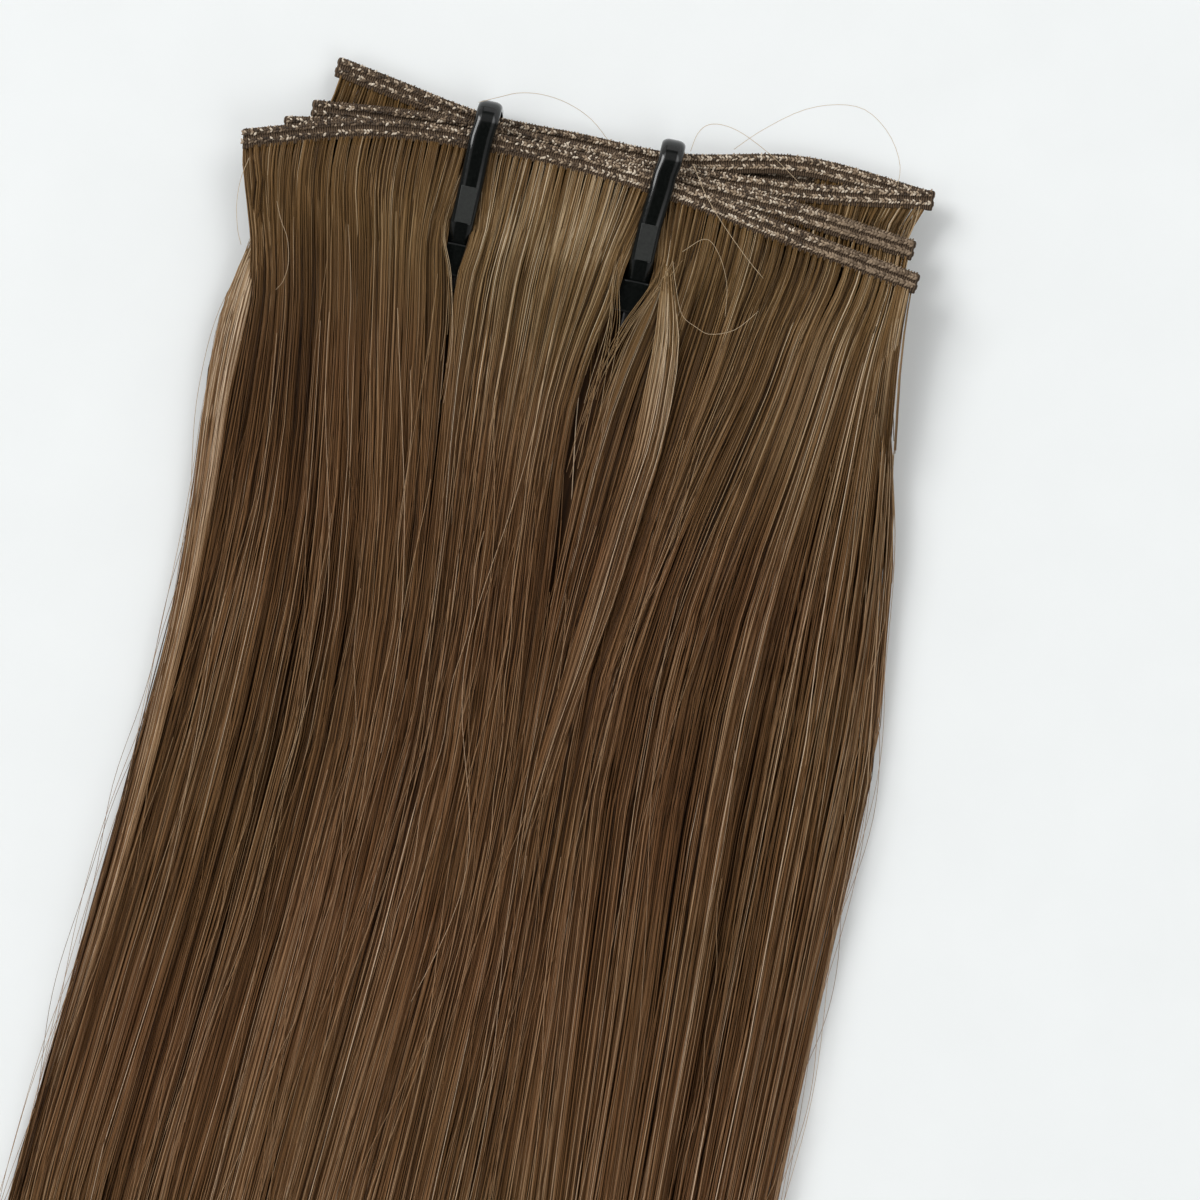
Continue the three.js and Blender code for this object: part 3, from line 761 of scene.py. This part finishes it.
def strand_piece(name, paths, radius, tone, finish):
    """One mesh of thin closed hairs, with each hair in its own strip of the bake map."""
    count, stations = paths.shape[:2]
    heading = np.gradient(paths, axis=1)
    heading = heading / np.linalg.norm(heading, axis=-1, keepdims=True)
    across = np.cross(heading, [0, 0, 1.0])
    across = across / np.maximum(np.linalg.norm(across, axis=-1, keepdims=True), 1e-6)
    over = np.cross(across, heading)
    spin = np.random.default_rng(count).uniform(0, 2 * np.pi, count)
    turn = spin[:, None, None] + 2 * np.pi * np.arange(STRAND_SIDES) / STRAND_SIDES
    turn = turn[..., None]
    ring = np.cos(turn) * across[:, :, None] + np.sin(turn) * over[:, :, None]
    radius = np.broadcast_to(radius, (count, stations))[:, :, None, None]
    corners = corner_list(paths[:, :, None] + ring * radius)

    tube = (stations, STRAND_SIDES)
    first = (np.arange(count) * stations * STRAND_SIDES)[:, None, None]
    quads = (first + ring_faces(*tube)[None]).reshape(-1, 4)
    caps = (first + end_caps(*tube)[None]).reshape(-1, STRAND_SIDES)
    piece = mesh_piece(name, corners, [quads, caps], "hair_fall")
    tone = np.broadcast_to(tone, (count, stations)).reshape(-1)
    set_tones(piece, np.repeat(tone, STRAND_SIDES))

    columns = math.ceil(math.sqrt(count * 6))
    rows = math.ceil(count / columns)
    cell = np.stack([np.arange(count) % columns, np.arange(count) // columns], axis=-1)[:, None]
    corner_ring, corner_side = ring_corners(*tube)
    steps, around = corner_ring / (stations - 1), corner_side / STRAND_SIDES
    strip = np.stack([0.08 + 0.84 * around, 0.06 + 0.88 * steps], axis=-1)
    tips = [(0.1, 0.01), (0.9, 0.01), (0.5, 0.05), (0.1, 0.95), (0.9, 0.95), (0.5, 0.99)]
    scale = np.array([columns, rows])
    places = [((cell + part[None]) / scale).reshape(-1, 2) for part in (strip, np.array(tips))]
    lay_out(piece, "OFBake", np.concatenate(places))
    piece.data.materials.append(finish)


hair_finish, tree, shader = new_material("brown_hair", 0.42, 0.15)
hair_tone = read_tones(tree)
warm_hair = colour_ramp(
    tree,
    [
        (0.0, srgb(34, 17, 3)),
        (0.3, srgb(81, 50, 26)),
        (0.55, srgb(123, 83, 53)),
        (0.8, srgb(166, 130, 99)),
        (1.0, srgb(210, 181, 154)),
    ],
)
ashen_hair = colour_ramp(
    tree,
    [
        (0.0, srgb(34, 20, 4)),
        (0.3, srgb(83, 60, 30)),
        (0.55, srgb(128, 99, 61)),
        (0.8, srgb(166, 141, 105)),
        (1.0, srgb(208, 188, 158)),
    ],
)
place = add_node(tree, "TexCoord")
patches = add_node(tree, "TexNoise", {"Scale": 28.0, "Detail": 2.0})
from_tips = add_node(tree, "SeparateXYZ")
near_band = add_node(tree, "MapRange", {"To Min": -0.15, "To Max": 0.45})
near_band.inputs["From Min"].default_value = (origin_y - 60) * MM
near_band.inputs["From Max"].default_value = (origin_y - 18) * MM
ashen_share = add_node(tree, "Math")
ashen_share.operation = "ADD"
ashen_share.use_clamp = True
blend = add_node(tree, "Mix")
blend.data_type = "RGBA"
join(
    tree,
    (hair_tone, "Fac", warm_hair, "Fac"),
    (hair_tone, "Fac", ashen_hair, "Fac"),
    (place, "Object", patches, "Vector"),
    (place, "Object", from_tips, "Vector"),
    (from_tips, "Y", near_band, "Value"),
    (patches, "Fac", ashen_share, 0),
    (near_band, "Result", ashen_share, 1),
    (ashen_share, "Value", blend, "Factor"),
    (warm_hair, "Color", blend, "A"),
    (ashen_hair, "Color", blend, "B"),
    (blend, "Result", shader, "Base Color"),
)

# How far along its length each hair has a ring, and how many hairs each tuft has
TOP_STATIONS = (0, 2, 5, 8.5, 12, 15.5, 19, 23, 28, 35, 45, 57, 72, 92, 120, 165, 240, 390)
UNDER_STATIONS = (0, 3, 7, 12, 18, 26, 38, 55, 80, 120, 180, 260, 390)
TOP_HAIRS = 44
UNDER_HAIRS = (4, 5, 5, 5, 5, 3, 3)
paths, radius, tone = hairs_of_pass(0, TOP_HAIRS, TOP_STATIONS, seed=21)
thirds = np.digitize(paths[:, 0, 0], (TIE_LEFT_X, TIE_RIGHT_X))
for third, name in enumerate(("hair_top_left", "hair_top_middle", "hair_top_right")):
    chosen = thirds == third
    strand_piece(name, paths[chosen], radius[chosen], tone[chosen], hair_finish)
for k, hairs in enumerate(UNDER_HAIRS, start=1):
    paths, radius, tone = hairs_of_pass(k, hairs, UNDER_STATIONS, seed=40 + k)
    strand_piece(f"hair_pass_{k + 1}", paths, radius * UNDER_HAIR_SWELL, tone, hair_finish)

# Roots in plain sight
# Where a pass sticks out past the others the roots of its hair show close together. Short hairs fill
# these places and end inside the fall.
ROOT_STATIONS = (0, 2.5, 6.5, 13, 25)
ROOT_TUFT_PITCH = 0.7
FINE_HAIR_RADII = (0.045, 0.08)
BARE_PARTS = [
    dict(k=0, left=-49.3, right=-39.0, per_mm=46, drop=0.5, bunch=0.0),
    dict(k=0, left=44.0, right=53.4, per_mm=26, drop=0.5, bunch=0.0),
    dict(k=2, left=32.0, right=52.0, per_mm=26, drop=0.0, bunch=0.55),
    dict(k=4, left=26.0, right=53.2, per_mm=30, drop=0.0, bunch=0.25),
    dict(k=5, left=-37.8, right=-20.0, per_mm=34, drop=0.0, bunch=0.15),
    dict(k=5, left=36.0, right=46.0, per_mm=24, drop=0.0, bunch=0.25),
]


def root_hairs(part, rng):
    k, left, right = part["k"], part["left"], part["right"]
    count = int((right - left) * part["per_mm"])
    root_x = rng.uniform(left, right, count)
    off_tuft = root_x - np.round(root_x / ROOT_TUFT_PITCH) * ROOT_TUFT_PITCH
    fallen = np.array(ROOT_STATIONS)[None] * rng.uniform(0.8, 1.1, count)[:, None]
    depth = root_depths(k, root_x)[:, None] + fallen
    x = top_flow(root_x, depth) if k == 0 else under_flow(k, root_x, depth)
    x = x - part["bunch"] * off_tuft[:, None] * (1 - ramp(1, 8, fallen))
    x = x + rng.normal(0, 0.12, count)[:, None] * ramp(2, 12, fallen)
    sunk = rng.random(count)[:, None]
    z = np.maximum(pass_z(k) - part["drop"] - 0.5 * sunk - 0.1 * fallen, 0.3)
    # Sunk roots are painted darker as shade, and those at the right end paler as painted light
    tone = 0.54 + rng.normal(0, 0.14, count)[:, None] - 0.25 * sunk + 0.12 * ramp(40, 50, x)
    radius = rng.uniform(*FINE_HAIR_RADII, count)[:, None]
    paths = np.stack([x, -depth, z], axis=-1)
    return paths, np.broadcast_to(radius, x.shape), np.broadcast_to(tone, x.shape)


rng = np.random.default_rng(51)
bare_roots = [root_hairs(part, rng) for part in BARE_PARTS]
paths, radius, tone = (np.concatenate(column) for column in zip(*bare_roots))
strand_piece("hair_roots", paths, radius, np.clip(tone, 0, 1), hair_finish)

# Loose locks
# A bright lock has slipped out beside the right tie and lies over the fall, and another hangs out at
# the left edge. Each is a bundle of the same hair, a few millimetres wide; over is its height above
# the fall.
RIGHT_LOCK = dict(
    depth=(14, 16, 20, 24, 33, 42, 51, 60, 70, 85, 110),
    x=(16.7, 17.1, 18.0, 18.8, 19.3, 19.3, 18.4, 17.6, 16.6, 15.0, 12.6),
    over=(-0.1, 0.3, 0.4, 0.5, 0.5, 0.4, 0.4, 0.4, 0.3, 0.1, -0.8),
    half=(0.4, 0.7, 1.3, 1.7, 2.1, 2.2, 2.2, 2.1, 1.9, 1.6, 1.2),
    pale=(0.5, 0.52, 0.58, 0.66, 0.66, 0.58, 0.48, 0.46, 0.46, 0.42, 0.38),
)
# The left lock's pale tones are partly its own paler hair and partly painted light where the light from
# the left catches that edge of the fall
LEFT_LOCK = dict(
    depth=(19, 22, 26, 34, 46, 60, 75, 95, 120, 155),
    x=(-44.4, -44.8, -45.2, -45.8, -45.9, -45.1, -44.5, -44.9, -46.1, -49.2),
    over=(-1.6, -1.2, -0.8, -0.3, 0.1, 0.3, 0.3, 0.3, 0.1, -0.4),
    half=(0.5, 1.0, 1.6, 2.2, 2.1, 1.9, 1.7, 1.5, 1.2, 0.9),
    pale=(0.66, 0.72, 0.75, 0.75, 0.69, 0.63, 0.58, 0.51, 0.47, 0.45),
)
LOCK_FLATNESS = 0.3
LOCK_STATIONS = 18


def loose_lock(name, lock, hairs, seed):
    rng = np.random.default_rng(seed)
    first, last = lock["depth"][0], lock["depth"][-1]
    start = first + rng.random(hairs) ** 2 * 8
    end = last - rng.random(hairs) ** 2 * (last - first) * 0.35
    along = np.linspace(0, 1, LOCK_STATIONS)[None]
    depth = start[:, None] + (end - start)[:, None] * along
    angle = rng.uniform(0, 2 * np.pi, hairs)
    reach = np.sqrt(rng.random(hairs))
    half = smooth(lock["depth"], lock["half"], depth)
    x = smooth(lock["depth"], lock["x"], depth) + half * (reach * np.cos(angle))[:, None]
    x = x + wave(rng, hairs, 0.25, 25, 90, depth)
    rise = half * LOCK_FLATNESS * (reach * np.sin(angle))[:, None]
    z = np.maximum(crown(x, depth) + smooth(lock["depth"], lock["over"], depth) + rise, 0.2)
    # Hairs higher in the lock are painted paler as light on its top
    tone = rng.normal(0, 0.19, hairs) + 0.12 * reach * np.sin(angle)
    tone = tone[:, None] + smooth(lock["depth"], lock["pale"], depth)
    radius = rng.uniform(*FINE_HAIR_RADII, hairs)[:, None] * (1 - 0.6 * ramp(0.85, 1.0, along))
    paths = np.stack([x, -depth, z], axis=-1)
    strand_piece(name, paths, radius, np.clip(tone, 0, 1), hair_finish)


loose_lock("hair_right_lock", RIGHT_LOCK, 220, seed=61)
loose_lock("hair_left_lock", LEFT_LOCK, 240, seed=62)

# Stray hairs
# Single fine hairs stand off: a few loop out past the band, some cross the partings by the ties and the
# rest wander over the fall and along its two sides.
STRAY_STATIONS = 24
STRAY_RADIUS = 0.045
LOOPS = [
    [(-16.1, 3.8), (-13.1, 5.2), (-10.2, 6.4), (-6.5, 6.8), (-2.5, 6.2), (1.2, 4.6), (4.6, 1.8)],
    [(16.5, 3.2), (17, 5.9), (18.3, 7.5), (20.7, 7.9), (24.1, 7.1), (29.2, 4.6), (33.7, 1.7)],
    [
        (22.8, 4.8), (26.2, 8.3), (31.4, 12.4), (36.4, 14.4), (40.9, 14.5), (45, 11.8), (47.6, 7.7),
        (48, 3.7),
    ],
    [
        (17.3, -13.5), (18.4, -16.8), (20.2, -21), (22.7, -22.5), (25.1, -23.1), (28.6, -21.6),
        (31.4, -18.2),
    ],
    [(18.4, -11.8), (21.4, -9.3), (23.8, -11.1), (25.9, -15.2), (26.7, -20)],
    [(17.3, 1.4), (20, -2.7), (23.5, -6.6), (27.9, -10.7), (31.1, -13.2)],
    [(-48, -11.4), (-48.5, -14.8), (-48.3, -18.6), (-47.4, -22.3), (-46.5, -24.4)],
    [(-42.6, -16.9), (-41.4, -19.5), (-39.8, -22.2), (-38.9, -25.8), (-39.2, -28.5), (-40, -29.9)],
]
LOOP_Z = 9.8
LOOP_TONE = 0.95

# Hairs that cross the partings: depths, and the limits between which they drift there
CROSSINGS = [
    dict(
        count=9,
        depths=(9, 17, 24, 33, 50),
        lows=(8.6, 8.4, 8.2, 7.5, 7.0),
        highs=(11.0, 10.6, 12.4, 12.6, 12.0),
    ),
    dict(
        count=14,
        depths=(9, 17, 24, 33, 50),
        lows=(15.8, 14.6, 11.6, 9.2, 8.0),
        highs=(21.5, 17.2, 14.6, 13.0, 12.5),
    ),
    dict(
        count=6,
        depths=(9, 17, 21, 28, 50),
        lows=(-18, -17.6, -16.4, -15, -14),
        highs=(-16.9, -16.8, -15, -13, -11.5),
    ),
]
WANDERERS = 110
RIM_HAIRS = 34


def loop_path(points):
    points = np.array(points, float)
    stops = np.arange(len(points))
    at = np.linspace(0, len(points) - 1, STRAY_STATIONS)
    lift = np.sin(np.pi * at / at[-1]) * 0.8
    x, y = smooth(stops, points[:, 0], at), smooth(stops, points[:, 1], at)
    return np.stack([x, y, LOOP_Z + lift], axis=-1)


def crossing(rng, count, depths, lows, highs):
    """Hairs that come up out of the fall, drift between their limits and stay above the heads."""
    share_start, share_end = rng.random((2, count, 1))
    share = share_start + (share_end - share_start) * np.linspace(0, 1, len(depths))[None]
    picked = lows + (np.array(highs) - lows) * share
    start = depths[0] + rng.random(count) * 4
    end = depths[-1] - rng.random(count) * 22
    along = np.linspace(0, 1, STRAY_STATIONS)[None]
    depth = start[:, None] + (end - start)[:, None] * along
    x = smooth(depths, picked, depth)
    z = np.maximum(crown(x, depth), 8.6) + 0.1 + rng.random(count)[:, None] * 0.3
    z = z - 1.0 * (1 - ramp(0, 0.2, along))
    return np.stack([x, -depth, z], axis=-1)


def wanderers(rng, count):
    root = rng.uniform(-49, 53, count)
    start = rng.uniform(9, 110, count)
    length = rng.uniform(35, 120, count)
    depth = start[:, None] + length[:, None] * np.linspace(0, 1, STRAY_STATIONS)[None]
    x = top_flow(root, depth) + wave(rng, count, 3.0, 70, 220, depth)
    x = x + wave(rng, count, 0.5, 15, 50, depth)
    left, right = fall_edge(FALL_LEFT, depth), fall_edge(FALL_RIGHT, depth)
    x = np.clip(x, left + 0.3, right - 0.3)
    z = crown(x, depth) + 0.12 + rng.random(count)[:, None] * 0.25
    return np.stack([x, -depth, z], axis=-1)


def rim_hairs(rng, count, edge, outward):
    """Hairs that stand a little off one side of the fall."""
    start = rng.uniform(20, 260, count)
    length = rng.uniform(25, 90, count)
    share = np.linspace(0, 1, STRAY_STATIONS)[None]
    depth = start[:, None] + length[:, None] * share
    off = rng.random(count)[:, None] ** 2 * 2.2 * np.sin(np.pi * share)
    off = off + wave(rng, count, 0.3, 20, 60, depth)
    x = fall_edge(edge, depth) + outward * (off - 0.4)
    z = np.maximum(fall_edge(FALL_TOP, depth) * (0.2 + 0.35 * rng.random(count)[:, None]), 0.3)
    return np.stack([x, -depth, z], axis=-1)


rng = np.random.default_rng(71)
strays = np.concatenate(
    [
        np.stack([loop_path(points) for points in LOOPS]),
        *(crossing(rng, **row) for row in CROSSINGS),
        wanderers(rng, WANDERERS),
        rim_hairs(rng, RIM_HAIRS, FALL_LEFT, -1),
        rim_hairs(rng, RIM_HAIRS, FALL_RIGHT, 1),
    ]
)
stray_tone = rng.uniform(0.45, 0.9, len(strays))[:, None]
stray_tone[: len(LOOPS)] = LOOP_TONE
stray_radius = np.full((len(strays), 1), STRAY_RADIUS)
strand_piece("hair_strays", strays, stray_radius, stray_tone, hair_finish)

# Cable ties
# Two black nylon ties are pulled round the stack. The strap comes out of the bottom of its square head,
# runs along the table, bends up and over the band and goes back into the head among the hair.
STRAP_WIDTH = 3.6
STRAP_THICKNESS = 1.2
STRAP_ROUND = 1.2
STRAP_BEND = 3.0
STRAP_TOP_BEND = 3.2
STRAP_Y = STRAP_OUTER_Y - STRAP_THICKNESS / 2
STRAP_LOW_Z = STRAP_THICKNESS / 2
STRAP_HIGH_Z = STACK_TOP_Z + 0.45 + STRAP_THICKNESS / 2
HEAD_Y = -19.8
HEAD_BOTTOM = 2.9
HEAD_SIZE = (5.6, 5.0, 5.0)
HEAD_EDGE = 0.3
PAD_SIZE = (2.5, 5.5, 0.5)
PAD_RISE = 0.4
PAD_EDGE = 0.08

# The strap's line over the band and down into the head
STRAP_FRONT = [
    (-1.2, STRAP_HIGH_Z), (-3.4, 10.13), (-8.7, 9.45), (-14.4, 8.75), (-17.6, 6.6), (-24.4, 5.2),
]
PAD_START, PAD_END = STRAP_FRONT[2:4]
PAD_SLOPE = math.atan2(PAD_START[1] - PAD_END[1], PAD_START[0] - PAD_END[0])


def extrude_strap(x, y, z):
    bpy.ops.mesh.extrude_region_move(TRANSFORM_OT_translate={"value": (x * MM, y * MM, z * MM)})


def bend_strap(y, z, steps):
    """Sweeps the strap's end face a quarter turn round a line along X through a place in millimetres."""
    middle = placed(0, y, z)
    bpy.ops.mesh.spin(steps=steps, angle=math.pi / 2, center=middle, axis=(-1, 0, 0))


def soften(piece, width, segments):
    """Rounds the sharp edges of a piece."""
    bevel = piece.modifiers.new("rounded_edges", "BEVEL")
    bevel.width = width * MM
    bevel.segments = segments
    bpy.context.view_layer.objects.active = piece
    bpy.ops.object.modifier_apply(modifier=bevel.name)


def make_strap(tie_x, arch, across):
    """The strap, with its outer face crowned, from the bottom of its head round to the other side."""
    bpy.ops.object.select_all(action="DESELECT")
    start_z = HEAD_BOTTOM + 1
    middle = placed(tie_x + across[-1], HEAD_Y, start_z)
    bpy.ops.mesh.primitive_plane_add(size=1, location=middle)
    strap = bpy.context.object
    strap.scale = (STRAP_WIDTH * MM, STRAP_WIDTH / 2 * MM, 1)
    bpy.ops.object.transform_apply(location=False, rotation=False, scale=True)
    bpy.ops.object.mode_set(mode="EDIT")
    bpy.ops.mesh.select_mode(type="VERT")
    bpy.ops.mesh.select_all(action="DESELECT")
    bpy.ops.object.mode_set(mode="OBJECT")
    for corner in strap.data.vertices:
        corner.select = corner.co.y < 0
    bpy.ops.object.mode_set(mode="EDIT")
    bpy.ops.mesh.bevel(offset=STRAP_ROUND * MM, segments=8, affect="VERTICES")
    bpy.ops.object.mode_set(mode="OBJECT")
    strap.scale.y = STRAP_THICKNESS / (STRAP_WIDTH / 2)
    bpy.ops.object.transform_apply(location=True, rotation=True, scale=True)
    bpy.ops.object.mode_set(mode="EDIT")
    bpy.ops.mesh.select_all(action="SELECT")
    extrude_strap(0, 0, STRAP_LOW_Z + STRAP_BEND - start_z)
    bend_strap(HEAD_Y + STRAP_BEND, STRAP_LOW_Z + STRAP_BEND, 8)
    extrude_strap(arch - across[-1], STRAP_Y - STRAP_BEND - HEAD_Y - STRAP_BEND, 0)
    bend_strap(STRAP_Y - STRAP_BEND, STRAP_LOW_Z + STRAP_BEND, 10)
    extrude_strap(0, 0, STRAP_HIGH_Z - STRAP_LOW_Z - STRAP_BEND - STRAP_TOP_BEND)
    bend_strap(STRAP_Y - STRAP_TOP_BEND, STRAP_HIGH_Z - STRAP_TOP_BEND, 10)
    x, y, z = arch, STRAP_Y - STRAP_TOP_BEND, STRAP_HIGH_Z
    for next_x, (next_y, next_z) in zip(across, STRAP_FRONT):
        extrude_strap(next_x - x, next_y - y, next_z - z)
        x, y, z = next_x, next_y, next_z
    bpy.ops.mesh.select_all(action="SELECT")
    bpy.ops.mesh.normals_make_consistent(inside=False)
    bpy.ops.object.mode_set(mode="OBJECT")
    return strap


def make_head(tie_x):
    bpy.ops.object.select_all(action="DESELECT")
    middle = placed(tie_x, HEAD_Y, HEAD_BOTTOM + HEAD_SIZE[2] / 2)
    bpy.ops.mesh.primitive_cube_add(size=1, location=middle)
    head = bpy.context.object
    bpy.ops.object.mode_set(mode="EDIT")
    bpy.ops.transform.resize(value=[size * MM for size in HEAD_SIZE])
    bpy.ops.object.mode_set(mode="OBJECT")
    bpy.ops.object.transform_apply(location=True, rotation=True, scale=True)
    soften(head, HEAD_EDGE, 2)
    return head


def make_pad(tie_x):
    """The flat, duller face that the strap has where it starts to run down."""
    bpy.ops.object.select_all(action="DESELECT")
    (y0, z0), (y1, z1) = PAD_START, PAD_END
    middle = placed(tie_x, (y0 + y1) / 2, (z0 + z1) / 2 + PAD_RISE)
    bpy.ops.mesh.primitive_cube_add(size=1, location=middle, rotation=(PAD_SLOPE, 0, 0))
    pad = bpy.context.object
    pad.scale = [size * MM for size in PAD_SIZE]
    bpy.ops.object.transform_apply(location=True, rotation=True, scale=True)
    soften(pad, PAD_EDGE, 2)
    return pad


def nylon(name, dark, pale, shiny, dull):
    """Black nylon with a faint cloudiness in its colour and its gloss."""
    finish, tree, shader = new_material(name, shiny, 0.45)
    place = add_node(tree, "TexCoord")
    haze = add_node(tree, "TexNoise", {"Scale": 2500.0, "Detail": 3.0})
    haze_colours = colour_ramp(tree, [(0.35, dark), (0.7, pale)])
    haze_gloss = add_node(tree, "MapRange", {"To Min": shiny, "To Max": dull})
    join(
        tree,
        (place, "Object", haze, "Vector"),
        (haze, "Fac", haze_colours, "Fac"),
        (haze, "Fac", haze_gloss, "Value"),
        (haze_colours, "Color", shader, "Base Color"),
        (haze_gloss, "Result", shader, "Roughness"),
    )
    return finish


glossy_nylon = nylon("glossy_nylon", srgb(11, 13, 12), srgb(18, 20, 19), 0.08, 0.16)
# The pad's nylon is rougher, and its paler grey is partly painted reflection from its flat face
dull_nylon_painted_reflection = nylon("dull_nylon_painted_reflection", srgb(20, 22, 20), srgb(35, 38, 35), 0.45, 0.6)

# How far the strap stands off the tie's middle line, in its arch and at each place down its front
TIES = [
    dict(node="tie_left", x=TIE_LEFT_X, arch=0.6, across=(0.35, 0.3, 0.25, 0.05, 0, 0)),
    dict(node="tie_right", x=TIE_RIGHT_X, arch=0.45, across=(0.1, 0, -0.5, -0.65, -0.65, -0.65)),
]
for tie in TIES:
    node, tie_x, across = tie["node"], tie["x"], tie["across"]
    strap = make_strap(tie_x, tie["arch"], across)
    head = make_head(tie_x + across[-1])
    pad = make_pad(tie_x + (across[2] + across[3]) / 2)
    for part in (strap, head):
        part.data.materials.append(glossy_nylon)
    pad.data.materials.append(dull_nylon_painted_reflection)
    bpy.ops.object.select_all(action="DESELECT")
    for part in (strap, head, pad):
        part.select_set(True)
    bpy.context.view_layer.objects.active = strap
    bpy.ops.object.join()
    bpy.ops.object.shade_smooth_by_angle(angle=math.radians(20))
    strap.name = f"{node}_nylon"
    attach(strap, "root")
    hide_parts(node)

# Floor and light
# The piece lies on a plain white table top under one large soft light from the left of the picture,
# with a weaker one low down past the band.
bpy.ops.mesh.primitive_plane_add(size=4, location=(0, 0, -0.0002))
table_top = bpy.context.object
table_top.name = "table_top"
table_finish, tree, shader = new_material("white_table", 0.6, 0.3)
place = add_node(tree, "TexCoord")
grain = add_node(tree, "TexNoise", {"Scale": 60.0, "Detail": 3.0})
grain_colours = colour_ramp(tree, [(0.0, srgb(238, 241, 241)), (1.0, srgb(243, 246, 246))])
join(
    tree,
    (place, "Object", grain, "Vector"),
    (grain, "Fac", grain_colours, "Fac"),
    (grain_colours, "Color", shader, "Base Color"),
)
table_top.data.materials.append(table_finish)

LIGHTS = [
    dict(name="left_window", place=(-4950, 1800, 4650), size=3.15, watts=240.0),
    dict(name="far_window", place=(0, 3000, 700), size=1.6, watts=6.0),
]
SKY_STRENGTH = 1.53
target = placed(*VIEW_MIDDLE, 0)
for light in LIGHTS:
    bpy.ops.object.light_add(type="AREA", location=target + np.array(light["place"]) * MM)
    lamp = bpy.context.object
    lamp.name = light["name"]
    lamp.data.size = light["size"]
    lamp.data.energy = light["watts"]
    toward = Vector(target) - lamp.location
    lamp.rotation_euler = toward.to_track_quat("-Z", "Y").to_euler()

# The room is palest high up past the band, and dark straight above and in a strip down its middle, so
# the glossy straps stay black from above


def grey_ramp(tree, stops):
    return colour_ramp(tree, [(position, (level, level, level, 1)) for position, level in stops])


def multiply(tree):
    """A node that multiplies two colours."""
    node = add_node(tree, "Mix")
    node.data_type = "RGBA"
    node.blend_type = "MULTIPLY"
    node.inputs["Factor"].default_value = 1.0
    return node


studio = bpy.data.worlds.new("studio")
studio.use_nodes = True
tree = studio.node_tree
way = add_node(tree, "TexCoord")
parts = add_node(tree, "SeparateXYZ")
room = grey_ramp(
    tree, [(0.0, 0.3), (0.6, 0.25), (0.75, 1), (0.955, 1), (0.975, 0.05), (1.0, 0.03)]
)
end_to_end = add_node(tree, "MapRange", {"From Min": -1.0})
room_ends = grey_ramp(
    tree,
    [(0.0, 0.5), (0.28, 1.2), (0.4, 1.0), (0.46, 0.25), (0.59, 0.25), (0.65, 1.8), (1.0, 2.0)],
)
side_to_side = add_node(tree, "MapRange", {"From Min": -1.0})
room_sides = grey_ramp(tree, [(0.3, 1), (0.36, 0.15), (0.6, 0.15), (0.66, 1.2)])
both = multiply(tree)
whole_room = multiply(tree)
background = tree.nodes["Background"]
background.inputs["Strength"].default_value = SKY_STRENGTH
join(
    tree,
    (way, "Generated", parts, "Vector"),
    (parts, "Z", room, "Fac"),
    (parts, "Y", end_to_end, "Value"),
    (end_to_end, "Result", room_ends, "Fac"),
    (parts, "X", side_to_side, "Value"),
    (side_to_side, "Result", room_sides, "Fac"),
    (room, "Color", both, "A"),
    (room_ends, "Color", both, "B"),
    (both, "Result", whole_room, "A"),
    (room_sides, "Color", whole_room, "B"),
    (whole_room, "Result", background, "Color"),
)
bpy.context.scene.world = studio
bpy.context.scene.view_settings.view_transform = "Standard"
